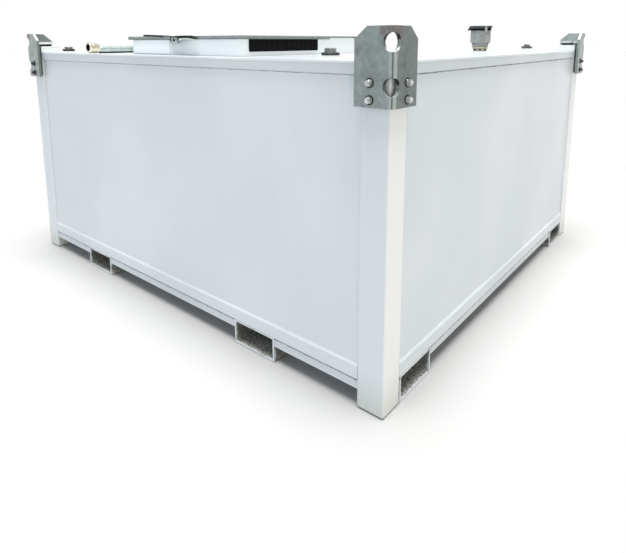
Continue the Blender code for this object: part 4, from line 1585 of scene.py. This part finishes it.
    def build_roof_creases(self) -> None:
        """Draw the roof's low pressed creases beside and behind the cabinet."""
        x, front, back, cut = self.crease_x, self.crease_front, self.crease_back, self.crease_corner
        path = [(-x, front), (-x, back - cut), (-x + cut, back), (x - cut, back), (x, back - cut), (x, front)]
        line = [[(px, py, self.roof - 0.0004) for px, py in path]]
        bead("roof_creases", line, WELD_ENAMEL, 0.0028, 0.02, 0.05, 0.0006, 17.0)

    def build(self) -> None:
        """Dress and detail the shell."""
        self.dress_nodes()
        self.build_seams()
        self.build_roof_creases()
        self.build_post_caps()
        self.build_tube_welds()


@dataclass
class LiftingCorners:
    """The lifting brackets with their worn eyes, their pads and their bolts."""

    half_length: float = 1.150
    half_width: float = 1.060
    face: float = 0.024
    from_corner: float = 0.054
    levels: tuple[float, float] = (1.061, 1.012)
    nut_across: float = 0.0178
    nut_height: float = 0.0100
    stud: float = 0.013
    proud: float = 0.0045
    eye_height: float = 1.175
    bend_inside: float = 0.006
    bend_middle: float = 0.012

    def bent(self, along: float, out: float) -> tuple[float, float]:
        """Return where a point of the flat bracket plate lies once it is bent.

        Args:
            along: Distance along the plate from the middle of the bend.
            out: Distance outwards from the plate's inner face.

        Returns:
            Distance outwards from the post's corner along the front and the side.
        """
        half = self.bend_middle * math.pi / 4
        radius = self.bend_inside + out
        if along <= -half:
            return (self.bend_inside + half + along, self.bend_inside + radius)
        if along >= half:
            return (self.bend_inside + radius, self.bend_inside + half - along)
        angle = math.pi / 4 * (1 + along / half)
        return (self.bend_inside + radius * math.sin(angle), self.bend_inside + radius * math.cos(angle))

    def build_eye_rims(self) -> None:
        """Add the rounded, worn rim inside each eye, which is deepest at its bottom."""
        rims = Draft()
        steps = 48
        rings = ((0.0268, 0.0, 0.0112), (0.0250, 0.0022, 0.0060), (0.0268, 0.0, 0.0008))
        for x_sign, y_sign in CORNERS:
            points, faces = [], []
            for step in range(steps):
                angle = 2 * math.pi * step / steps
                for radius, rise, out in rings:
                    front, side = self.bent(radius * math.cos(angle), out)
                    x = x_sign * (self.half_length + front)
                    y = y_sign * (self.half_width + side)
                    points.append((x, y, self.eye_height + rise + radius * math.sin(angle)))
                here, there = step * 3, (step + 1) % steps * 3
                for first in range(3):
                    second = (first + 1) % 3
                    faces.append((here + first, there + first, there + second, here + second))
            rims.add_faces(points, faces)
        rims.commit("eye_rims", BRACKET_ZINC, Slot.GALVANISED)

    def build(self) -> None:
        """Dress the brackets and pads and set the bolts."""
        for name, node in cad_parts.items():
            if name.startswith("lifting_bracket"):
                dress_node(node, BRACKET_ZINC)
            elif name.startswith("bracket_pad"):
                dress_node(node, PAD_RUBBER)
        seats = []
        for x_sign, y_sign in CORNERS:
            for level in self.levels:
                x = x_sign * (self.half_length - self.from_corner)
                y = y_sign * (self.half_width + self.face)
                seats.append(Seat((x, y, level), (0, y_sign, 0)))
                x = x_sign * (self.half_length + self.face)
                y = y_sign * (self.half_width - self.from_corner)
                seats.append(Seat((x, y, level), (x_sign, 0, 0)))
        self.build_eye_rims()
        # The washers' near-black is painted shade round each nut.
        washer = Draft()
        washer.turned(((0.0, 0.0), (0.0142, 0.0), (0.0142, 0.0016), (0.0136, 0.0022), (0.0, 0.0022)), 24)
        fastened("bracket_washers", seats, washer.mesh("bracket_washer"), SHADE_BLACK_WASHER)
        template = studded_nut(self.nut_across, self.nut_height, self.stud, self.proud)
        fastened("bracket_bolts", seats, template, SHADE_PAINTED_BOLT)


# Outlines on the lid's front edge as (distance from the handle's left end, height).
GRIP_OUTLINE = (
    (-0.052, 1.2000), (-0.020, 1.2004), (0.000, 1.2014), (0.010, 1.2020), (0.070, 1.2020), (0.088, 1.2018),
    (0.098, 1.1996), (0.110, 1.1940), (0.117, 1.1900), (0.115, 1.1888), (0.100, 1.1894), (0.088, 1.1902),
    (0.066, 1.1920), (0.010, 1.1920), (-0.010, 1.1936), (-0.052, 1.1946),
)
ARCH_OUTLINE = (
    (0.000, 1.1850), (0.012, 1.1902), (0.020, 1.1918), (0.062, 1.1918), (0.080, 1.1898), (0.111, 1.1848),
    (0.111, 1.1826), (0.084, 1.1850), (0.062, 1.1866), (0.022, 1.1864), (0.012, 1.1846), (0.003, 1.1822),
)


@dataclass
class Cabinet:
    """The equipment cabinet on the roof, its lid and what is fixed to them."""

    left: float = -0.300
    right: float = 0.428
    front: float = -0.961
    back: float = -0.206
    wall: float = 0.003
    top: float = 1.192
    roof: float = 1.120
    lid_top: float = 1.200
    lip_bottom: float = 1.187
    lid_left: float = -0.325
    lid_right: float = 0.438
    lid_front: float = -0.971
    lid_back: float = -0.196
    hinge_y: float = -0.184
    hinge_z: float = 1.176
    hinge_leaf: float = 0.070
    seam_x: float = -0.012
    flap_front: float = -0.912
    flap_back: float = -0.497
    flap_bottom: float = 1.140
    flap_top: float = 1.188
    flap_strips: int = 14
    side_lip_back: float = -0.415
    hasp_x: float = 0.034
    handle_left: float = 0.072
    bar_left: float = -0.197
    bar_right: float = -0.045
    bar_lift: float = 0.0052
    cover_bolts: int = 16

    def dress_nodes(self) -> None:
        """Give the cabinet's CAD nodes their finishes."""
        for name, finish in (
            ("cabinet_frame", CABINET_ENAMEL), ("cabinet_lid", SHEET_ZINC), ("lid_hasp", HASP_ENAMEL),
            ("lid_hinge_left", SHEET_ZINC), ("lid_hinge_right", SHEET_ZINC),
        ):
            dress_node(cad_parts[name], finish)

    def build_walls(self) -> None:
        """Add the front cover panel, the base weld and the foam seal on the walls."""
        panel = Draft()
        panel.block(
            (self.left + 0.004, self.front - 0.0045, self.roof + 0.004),
            (self.seam_x, self.front - 0.0002, self.lip_bottom - 0.002),
            0.0012,
        )
        panel.commit("front_cover_panel", CABINET_ENAMEL, Slot.PAINT)
        inset = 0.0004
        x_span, y_span = (self.left - inset, self.right + inset), (self.front - inset, self.back + inset)
        base = [[(x, y, self.roof + 0.0010) for x, y in rounded(x_span, y_span, 0.003)]]
        bead("cabinet_base_weld", base, WELD_ENAMEL, 0.0026, 0.005, 0.18, 0.0008, 31.0, True)
        seal = Draft()
        middle = self.wall / 2
        x_span, y_span = (self.left + middle, self.right - middle), (self.front + middle, self.back - middle)
        seal.rod([(x, y, self.top + 0.0022) for x, y in rounded(x_span, y_span, 0.006)], 0.0024, 8, True)
        seal.commit("lid_seal", FOAM_SEAL, Slot.RUBBER)

    def build_lid_details(self) -> None:
        """Add the hem under the lid's lips and the stiffeners under its sheet."""
        hem = Draft()
        inset, turn = 0.0014, 0.003
        left, right = self.lid_left + inset, self.lid_right - inset
        front, back = self.lid_front + inset, self.lid_back - inset
        lips = (
            (left, self.side_lip_back), (left, front + turn), (left + turn, front),
            (right - turn, front), (right, front + turn), (right, self.side_lip_back),
        )
        for line in (lips, ((left, back), (right, back))):
            hem.rod([(x, y, self.lip_bottom + 0.0010) for x, y in line], 0.0019, 8)
        hem.commit("lid_hem", HEM_ZINC, Slot.GALVANISED, Body.LID)
        ribs = Draft()
        for x in (-0.16, 0.07, 0.30):
            low = (x - 0.018, self.front + 0.025, self.lid_top - 0.0115)
            ribs.block(low, (x + 0.018, self.back - 0.025, self.lid_top - 0.0028), 0.0025)
        ribs.commit("lid_stiffeners", SHEET_ZINC, Slot.GALVANISED, Body.LID)

    def build_hinges(self) -> None:
        """Add the hinge pins and the screws in the fixed leaves."""
        pins = Draft()
        seats = []
        half = self.hinge_leaf / 2
        profile = (
            (0, -half - 0.004), (0.0036, -half - 0.003), (0.0040, -half - 0.0005), (0.0028, -half - 0.0002),
            (0.0028, half), (0.0034, half + 0.0012), (0, half + 0.0020),
        )
        for side in ("left", "right"):
            low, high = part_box("lid_hinge_" + side)
            middle = (low.x + high.x) / 2
            pins.turned(profile, 16, at((middle, self.hinge_y, self.hinge_z), (1, 0, 0)))
            for offset in (-0.024, 0.0, 0.024):
                seats.append(Seat((middle + offset, self.back + 0.0033, 1.152), (0, 1, 0)))
        pins.commit("hinge_pins", BOLT_ZINC, Slot.GALVANISED)
        fastened("hinge_screws", seats, pan_screw(0.009, 0.003), BOLT_ZINC, 5.0)

    def build_flap(self) -> None:
        """Add the slit rubber flap, its edging and the strip that clamps it."""
        face, slit, edge = self.right + 0.0003, 0.00005, 0.0005
        flap = Draft()
        width = (self.flap_back - self.flap_front) / self.flap_strips
        for number in range(self.flap_strips):
            start = self.flap_front + number * width
            low = (face, start + slit, self.flap_bottom + edge)
            flap.block(low, (face + 0.0026, start + width - slit, self.flap_top - edge), 0.0003)
        flap.commit("hose_slot_curtain", BLACK_RUBBER, Slot.RUBBER, stands_for=("hose_slot_flap",))
        edging = Draft()
        outline = rounded((self.flap_front, self.flap_back), (self.flap_bottom, self.flap_top), 0.003)
        edging.rod([(face + 0.0018, y, z) for y, z in outline], 0.0026, 8, True)
        edging.commit("hose_slot_edging", BLACK_RUBBER, Slot.RUBBER)

    def build_lock_bar(self) -> None:
        """Add the lock bar, an angle that hooks over the lid's front edge."""
        bar = Draft()
        front, back, top = self.lid_front - 0.0025, self.lid_front + 0.0350, self.lid_top
        pivot = Matrix.Translation((self.bar_right, 0.0, top))
        slope = math.atan2(self.bar_lift, self.bar_right - self.bar_left)
        tilt = pivot @ Matrix.Rotation(slope, 4, "Y") @ pivot.inverted()
        outline = rounded((self.bar_left, self.bar_right), (front, back), 0.004)
        bar.plate(outline, top - 0.0010, top + 0.0034, 0.0010, tilt)
        high = (self.bar_right - 0.001, self.lid_front - 0.0003, top + 0.0028)
        bar.block((self.bar_left + 0.001, front, top - 0.0045), high, 0.0006, 2, tilt)
        bar.commit("lock_bar", DARK_NYLON, Slot.PLASTIC, Body.LID, ("lid_lock_bar",))

    def build_handle(self) -> None:
        """Add the pull handle: a black grip over an arched, pale lip; the grip's black is nylon as well as
        painted shade under the lid's raised lip.
        """
        face = at((self.handle_left, self.lid_front, 0.0), (0.0, -1.0, 0.0))
        grip = Draft()
        grip.plate(GRIP_OUTLINE, 0.0042, 0.0150, 0.0007, face)
        grip.commit("pull_handle", GRIP_NYLON, Slot.PLASTIC, Body.LID, ("lid_handle",))
        arch = Draft()
        arch.plate(ARCH_OUTLINE, 0.0005, 0.0090, 0.0006, face)
        arch.commit("handle_lip", DISH_ENAMEL, Slot.PAINT, Body.LID)

    def build_hasp(self) -> None:
        """Add the hasp's hinge strip, its bolt and the staple block behind it."""
        front = self.lid_front
        staple = Draft()
        low = (self.hasp_x - 0.0160, front + 0.0010, 1.1715)
        staple.block(low, (self.hasp_x + 0.0190, self.front - 0.0002, 1.1855), 0.0012)
        staple.commit("hasp_staple", HASP_ENAMEL, Slot.PAINT)
        # The dark iron strip is the hasp's hinge as well as painted shade beside the hasp's left edge.
        strip = Draft()
        x = self.hasp_x - 0.0195
        strip.block((x - 0.0032, front - 0.0060, 1.1755), (x + 0.0032, front - 0.0004, 1.2012), 0.0012)
        strip.commit("hasp_strip", DARK_IRON, Slot.GALVANISED, Body.LID)
        seats = [Seat((self.hasp_x + 0.003, front - 0.0040, 1.1830), (0, -1, 0))]
        fastened("hasp_bolt", seats, pan_screw(0.012, 0.005), DARK_IRON, 6.0, Body.LID)

    def build_inside(self) -> None:
        """Add the bolts of the access cover, which show when the lid is open."""
        low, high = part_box("access_cover")
        middle = (low + high) / 2
        reach = (high.x - low.x) / 2 - 0.018
        seats = []
        for number in range(self.cover_bolts):
            angle = 2 * math.pi * number / self.cover_bolts
            x, y = middle.x + reach * math.cos(angle), middle.y + reach * math.sin(angle)
            seats.append(Seat((x, y, high.z), (0, 0, 1)))
        fastened("access_cover_bolts", seats, studded_nut(0.013, 0.006, 0.008, 0.003), BOLT_ZINC, 8.0)

    def build(self) -> None:
        """Dress and detail the cabinet."""
        self.dress_nodes()
        self.build_walls()
        self.build_lid_details()
        self.build_hinges()
        self.build_flap()
        self.build_lock_bar()
        self.build_handle()
        self.build_hasp()
        self.build_inside()


@dataclass
class OutletLine:
    """The outlet pipe that lies on the roof, with its brass coupling."""

    x: float = -0.620
    y: float = -0.600
    mouth_z: float = 1.1490
    drop: float = 0.0046
    pipe_z: float = 1.1376
    pipe_radius: float = 0.0173
    outer_end: float = -1.017
    inner_end: float = -0.9613
    bore: float = 0.0185
    bore_depth: float = 0.040
    wall_x: float = -0.300
    union_x: float = -0.150

    def build_coupling(self) -> None:
        """Turn the coupling, whose underside stays level as it tapers to the pipe."""
        length = self.inner_end - self.outer_end
        lean = Matrix.Identity(4)
        lean[1][2] = -self.drop / length
        seat = at((self.x, self.outer_end, self.mouth_z), (0, 1, 0)) @ lean
        profile = (
            (self.bore, 0.0), (0.0230, 0.0), (0.0247, 0.0012), (0.0255, 0.0040), (0.0255, 0.0130),
            (0.0243, 0.0143), (0.0243, 0.0172), (0.0250, 0.0187), (0.0246, 0.0300), (0.0232, 0.0430),
            (0.0218, length - 0.0040), (0.0205, length), (0.0, length), (0.0, self.bore_depth),
            (self.bore, self.bore_depth),
        )
        coupling = Draft()
        coupling.turned(profile, 48, seat)
        coupling.commit("brass_coupling", TURNED_BRASS, Slot.BRASS, stands_for=("outlet_coupling",))
        deep, rim = self.bore_depth - 0.0010, self.bore - 0.0002
        profile = (
            (0.0, deep), (rim, deep), (rim, 0.0014), (rim - 0.0016, 0.0010),
            (rim - 0.0022, 0.0030), (rim - 0.0022, deep - 0.003), (0.0, deep - 0.003),
        )
        liner = Draft()
        liner.turned(profile, 40, seat)
        liner.commit("coupling_liner", BLACK_RUBBER, Slot.RUBBER)

    def build_pipe_details(self) -> None:
        """Cut the pipe's visible thread, and add its grommet, its union and its hose."""
        centres = [(self.x, self.inner_end + 0.0020 + 0.0023 * turn, self.pipe_z) for turn in range(6)]
        ring_stack("pipe_thread", centres, self.pipe_radius - 0.0004, 0.0008, PIPE_ZINC)
        grommet = Draft()
        reach = self.pipe_radius + 0.0032
        arch = []
        for step in range(25):
            angle = math.radians(-24 + 228 * step / 24)
            y, z = self.y + reach * math.cos(angle), self.pipe_z + reach * math.sin(angle)
            arch.append((self.wall_x - 0.0020, y, z))
        grommet.rod(arch, 0.0028, 10)
        grommet.commit("pipe_grommet", BLACK_RUBBER, Slot.RUBBER)
        union = Draft()
        profile = (
            (0.0, 0.0003), (0.0168, 0.0003), (0.0168, 0.0050), (0.0150, 0.0065),
            (0.0150, 0.0170), (0.0164, 0.0190), (0.0164, 0.0270), (0.0, 0.0270),
        )
        union.turned(profile, 32, at((self.union_x, self.y, self.pipe_z), (1, 0, 0)))
        union.commit("pipe_union", TURNED_BRASS, Slot.BRASS)
        hose = Draft()
        start = self.union_x + 0.024
        bends = (
            (0.0, 0.0), (0.022, 0.0), (0.040, 0.005), (0.056, 0.014), (0.074, 0.020), (0.092, 0.021),
            (0.108, 0.017), (0.117, 0.008), (0.119, -0.003),
        )
        path = [(start + ahead, self.y + 0.35 * ahead, self.pipe_z + rise) for ahead, rise in bends]
        hose.rod(path, 0.0120, 16)
        hose.commit("cover_hose", BLACK_RUBBER, Slot.RUBBER)

    def build(self) -> None:
        """Dress and detail the outlet."""
        dress_node(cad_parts["outlet_pipe"], PIPE_ZINC)
        self.build_coupling()
        self.build_pipe_details()


@dataclass
class FillFitting:
    """The fill fitting: a brass base with lugs, a cast body and a lockable cap."""

    x: float = 0.720
    y: float = 0.640
    roof: float = 1.1203
    base_top: float = 1.146
    neck: float = 0.0445
    shoulder: float = 1.166
    body: float = 0.0555
    body_top: float = 1.236
    cap_top: float = 1.262
    front: float = -67.5

    def facing(self, turn: float) -> Point:
        """Return the direction at an angle from the fitting's front, in degrees."""
        angle = math.radians(self.front + turn)
        return (math.cos(angle), math.sin(angle), 0.0)

    def build_base(self) -> None:
        """Build the brass base, its lugs and the screws round the neck."""
        foot = (self.x, self.y, self.roof)
        base = Draft()
        profile = (
            (0.0, 0.0), (0.0330, 0.0), (0.0330, 0.0100), (0.0400, 0.0125),
            (0.0434, 0.0150), (0.0434, 0.0240), (0.0420, 0.0257), (0.0, 0.0257),
        )
        base.turned(profile, 48, at(foot))
        base.commit("fill_brass_base", AGED_BRASS, Slot.BRASS, stands_for=("fill_base",))
        lugs = Draft()
        outline = ((-0.0085, 0.0160), (-0.0020, 0.0006), (0.0020, 0.0006), (0.0085, 0.0160))
        for number in range(6):
            lugs.plate(outline, 0.0310, 0.0390, 0.0008, at(foot, self.facing(60 * number)))
        lugs.commit("fill_base_lugs", CAST_BRONZE, Slot.BRASS)
        seats = []
        for number in range(12):
            facing = self.facing(30 * number + 15)
            place = (self.x + self.neck * facing[0], self.y + self.neck * facing[1], 1.1620)
            seats.append(Seat(place, facing))
        fastened("fill_set_screws", seats, pan_screw(0.010, 0.0025), CAST_IRON, 9.0)

    def build_body(self) -> None:
        """Build the cast body."""
        body = Draft()
        profile = (
            (0.0, self.base_top + 0.0003), (self.neck - 0.004, self.base_top + 0.0003),
            (self.neck, self.base_top + 0.004), (self.neck, self.shoulder),
            (self.body - 0.001, self.shoulder + 0.001), (self.body, self.shoulder + 0.003),
            (self.body, self.body_top - 0.002), (self.body - 0.001, self.body_top), (0.0, self.body_top),
        )
        body.turned(profile, 56, at((self.x, self.y, 0.0)))
        body.commit("fill_cast_body", CAST_ALLOY, Slot.GALVANISED, stands_for=("fill_body",))

    def build_cap(self) -> None:
        """Build the cap, the seal under it, its two tabs and its latch."""
        low, top = self.body_top + 0.0003, self.cap_top
        centre = (self.x, self.y, 0.0)
        seal = Draft()
        high = low + 0.0100
        profile = ((0.0, low), (0.0560, low), (0.0570, low + 0.002), (0.0570, high), (0.0, high))
        seal.turned(profile, 56, at(centre))
        seal.commit("fill_cap_seal", BLACK_RUBBER, Slot.RUBBER)
        cap = Draft()
        profile = (
            (0.0, low + 0.0102), (0.0570, low + 0.0102), (0.0595, low + 0.0125), (0.0595, top - 0.0020),
            (0.0575, top), (0.0450, top), (0.0430, top - 0.002), (0.0, top - 0.002),
        )
        cap.turned(profile, 56, at(centre))
        low_tab = (
            (0.0500, top - 0.001), (0.0605, top - 0.001), (0.0725, low + 0.003),
            (0.0700, low - 0.001), (0.0500, low + 0.003),
        )
        high_tab = (
            (0.0500, top), (0.0640, top), (0.0615, top - 0.005), (0.0545, low + 0.009), (0.0500, low + 0.009)
        )
        cap.plate(low_tab, -0.013, 0.013, 0.0010, at(centre, self.facing(180)))
        cap.plate(high_tab, -0.013, 0.013, 0.0010, at(centre, self.facing(0)))
        cap.commit("fill_cast_cap", CAP_NYLON, Slot.PLASTIC, stands_for=("fill_cap",))
        latch = Draft()
        strap = rounded((-0.0070, 0.0070), (low - 0.0120, top - 0.0015), 0.004)
        latch.plate(strap, 0.0560, 0.0625, 0.0012, at(centre, self.facing(27)))
        latch.commit("fill_cap_latch", CAST_ALLOY, Slot.GALVANISED)
        pin = Draft()
        facing = self.facing(52)
        middle = Vector((self.x, self.y, low + 0.0100)) + Vector(facing) * 0.0570
        along = Vector((-facing[1], facing[0], 0.0)) * 0.0070
        pin.rod([middle - along, middle + along], 0.0050, 14)
        pin.commit("fill_cap_hinge_pin", BLACK_RUBBER, Slot.RUBBER)

    def build(self) -> None:
        """Build the fitting's pieces."""
        self.build_base()
        self.build_body()
        self.build_cap()


@dataclass(frozen=True)
class Plug:
    """Sizes of one roof plug.

    Attributes:
        boss_height: Height of the welded boss under its disc.
        disc_radius: Radius of its disc.
        disc_height: Height of its disc.
        across: Width of its head over the flats.
        head_height: Height of its head above the disc.
    """

    boss_height: float
    disc_radius: float
    disc_height: float
    across: float
    head_height: float


PLUGS = {
    "front_left": Plug(0.007, 0.0330, 0.010, 0.0372, 0.012),
    "front_right": Plug(0.003, 0.0372, 0.010, 0.0450, 0.018),
    "back_right": Plug(0.016, 0.0300, 0.009, 0.0294, 0.012),
}


@dataclass
class RoofPlugs:
    """The screwed plugs in the roof, each on its welded boss."""

    roof: float = 1.1203
    boss_inset: float = 0.006
    washer: float = 0.0018

    def build(self) -> None:
        """Build each plug at its place."""
        bosses, discs, washers = Draft(), Draft(), Draft()
        for place, plug in PLUGS.items():
            low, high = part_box("roof_plug_" + place)
            seat = at(((low.x + high.x) / 2, (low.y + high.y) / 2, self.roof))
            radius, boss = plug.disc_radius, plug.disc_radius - self.boss_inset
            top, disc = plug.boss_height, plug.boss_height + plug.disc_height
            bosses.turned(((0.0, 0.0), (boss + 0.010, 0.0), (boss, top), (0.0, top)), 40, seat)
            profile = (
                (0.0, top), (radius - 0.001, top), (radius, top + 0.001),
                (radius, disc - 0.002), (radius - 0.002, disc), (0.0, disc),
            )
            discs.turned(profile, 40, seat)
            rim, level = plug.across * 0.58, disc + self.washer
            washers.turned(((0.0, disc), (rim, disc), (rim - 0.0004, level), (0.0, level)), 32, seat)
            head = Draft()
            head.prism(6, plug.across, level - 0.0002, disc + plug.head_height, 0.0020, seat)
            name = f"{place}_roof_plug_head"
            head.commit(name, CAST_IRON, Slot.GALVANISED, stands_for=("roof_plug_" + place,))
        # The bosses' whiter enamel is painted light against the shade of the discs.
        bosses.commit("roof_plug_bosses", LIGHT_PAINTED_ENAMEL, Slot.PAINT)
        discs.commit("roof_plug_discs", DARK_IRON, Slot.GALVANISED)
        washers.commit("roof_plug_washers", BOLT_ZINC, Slot.GALVANISED)


@dataclass
class Studio:
    """The floor, the light and the camera."""

    floor_radius: float = 90.0
    floor_level: float = -0.0005
    place: tuple[float, float, float] = (1.9043, -2.3154, 1.1776)
    yaw: float = 39.695
    pitch: float = -9.671
    roll: float = -0.128
    lens: float = 29.743
    sensor: float = 36.0
    shift: tuple[float, float] = (0.0025, -0.235)
    horizon: tuple[float, float, float, float] = (1.0, 1.0, 1.0, 1.0)
    overhead: tuple[float, float, float, float] = (0.40, 0.42, 0.44, 1.0)

    def build_floor(self) -> None:
        """Lay the studio floor."""
        sheet = bmesh.new()
        bmesh.ops.create_circle(sheet, cap_ends=True, segments=96, radius=self.floor_radius)
        mesh = bpy.data.meshes.new("studio_floor")
        sheet.to_mesh(mesh)
        sheet.free()
        mesh.materials.append(FLOOR_PAPER.material())
        floor = bpy.data.objects.new("studio_floor", mesh)
        bpy.context.scene.collection.objects.link(floor)
        floor.location.z = self.floor_level

    def build_world(self) -> None:
        """Make the backdrop, white at the horizon and dimmer overhead."""
        world = bpy.data.worlds.new("studio_backdrop")
        world.use_nodes = True
        tree = world.node_tree
        backdrop = Surface(tree, add_node(tree, "ShaderNodeTexCoord").outputs["Generated"])
        height = add_node(tree, "ShaderNodeSeparateXYZ", None, {"Vector": backdrop.place}).outputs["Z"]
        fade = backdrop.add(Step.SMOOTH, height, 0.08, 0.30)
        tint = backdrop.add(Step.LAYER, fade, self.horizon, self.overhead)
        tree.links.new(tint, tree.nodes["Background"].inputs["Color"])
        tree.nodes["Background"].inputs["Strength"].default_value = 1.0
        bpy.context.scene.world = world

    def add_sun(self, name: str, strength: float, colour: str, towards: Point, spread: float) -> None:
        """Add a broad, even light.

        Args:
            name: Name of the light.
            strength: Its strength.
            colour: sRGB hex colour of its light.
            towards: Direction that the light travels.
            spread: Apparent width in degrees, which softens its shadows.
        """
        light = bpy.data.lights.new(name, "SUN")
        light.energy = strength
        light.color = linear(colour)[:3]
        light.angle = math.radians(spread)
        lamp = bpy.data.objects.new(name, light)
        bpy.context.scene.collection.objects.link(lamp)
        lamp.rotation_euler = (-Vector(towards)).to_track_quat("Z", "Y").to_euler()

    def build_camera(self) -> None:
        """Set the camera where the reference picture was taken from."""
        data = bpy.data.cameras.new("studio_camera")
        data.sensor_width = self.sensor
        data.lens = self.lens
        data.shift_x, data.shift_y = self.shift
        camera = bpy.data.objects.new("studio_camera", data)
        bpy.context.scene.collection.objects.link(camera)
        turn = Matrix.Rotation(math.radians(self.yaw), 4, "Z")
        turn = turn @ Matrix.Rotation(math.radians(90.0 + self.pitch), 4, "X")
        turn = turn @ Matrix.Rotation(math.radians(self.roll), 4, "Z")
        camera.matrix_world = Matrix.Translation(self.place) @ turn
        bpy.context.scene.camera = camera

    def build(self) -> None:
        """Build the studio."""
        self.build_camera()
        self.build_floor()
        self.build_world()
        self.add_sun("overhead_softbox", 4.2, "#FFFDFA", (-0.06, 0.03, -1.0), 36.0)
        self.add_sun("front_fill", 0.30, "#8CCBFF", (0.25, 1.0, -0.15), 60.0)
        self.add_sun("side_fill", 0.24, "#FFF0B4", (-1.0, 0.25, -0.15), 60.0)
        bpy.context.scene.view_settings.view_transform = "Standard"


def main() -> None:
    """Build the studio and every sub-assembly in order."""
    logging.basicConfig(level=logging.INFO, format="%(name)s: %(message)s")
    for kind in (Studio, Shell, LiftingCorners, Cabinet, OutletLine, FillFitting, RoofPlugs):
        kind().build()
        LOG.info("%s built", kind.__name__)


if __name__ == "__main__":
    main()
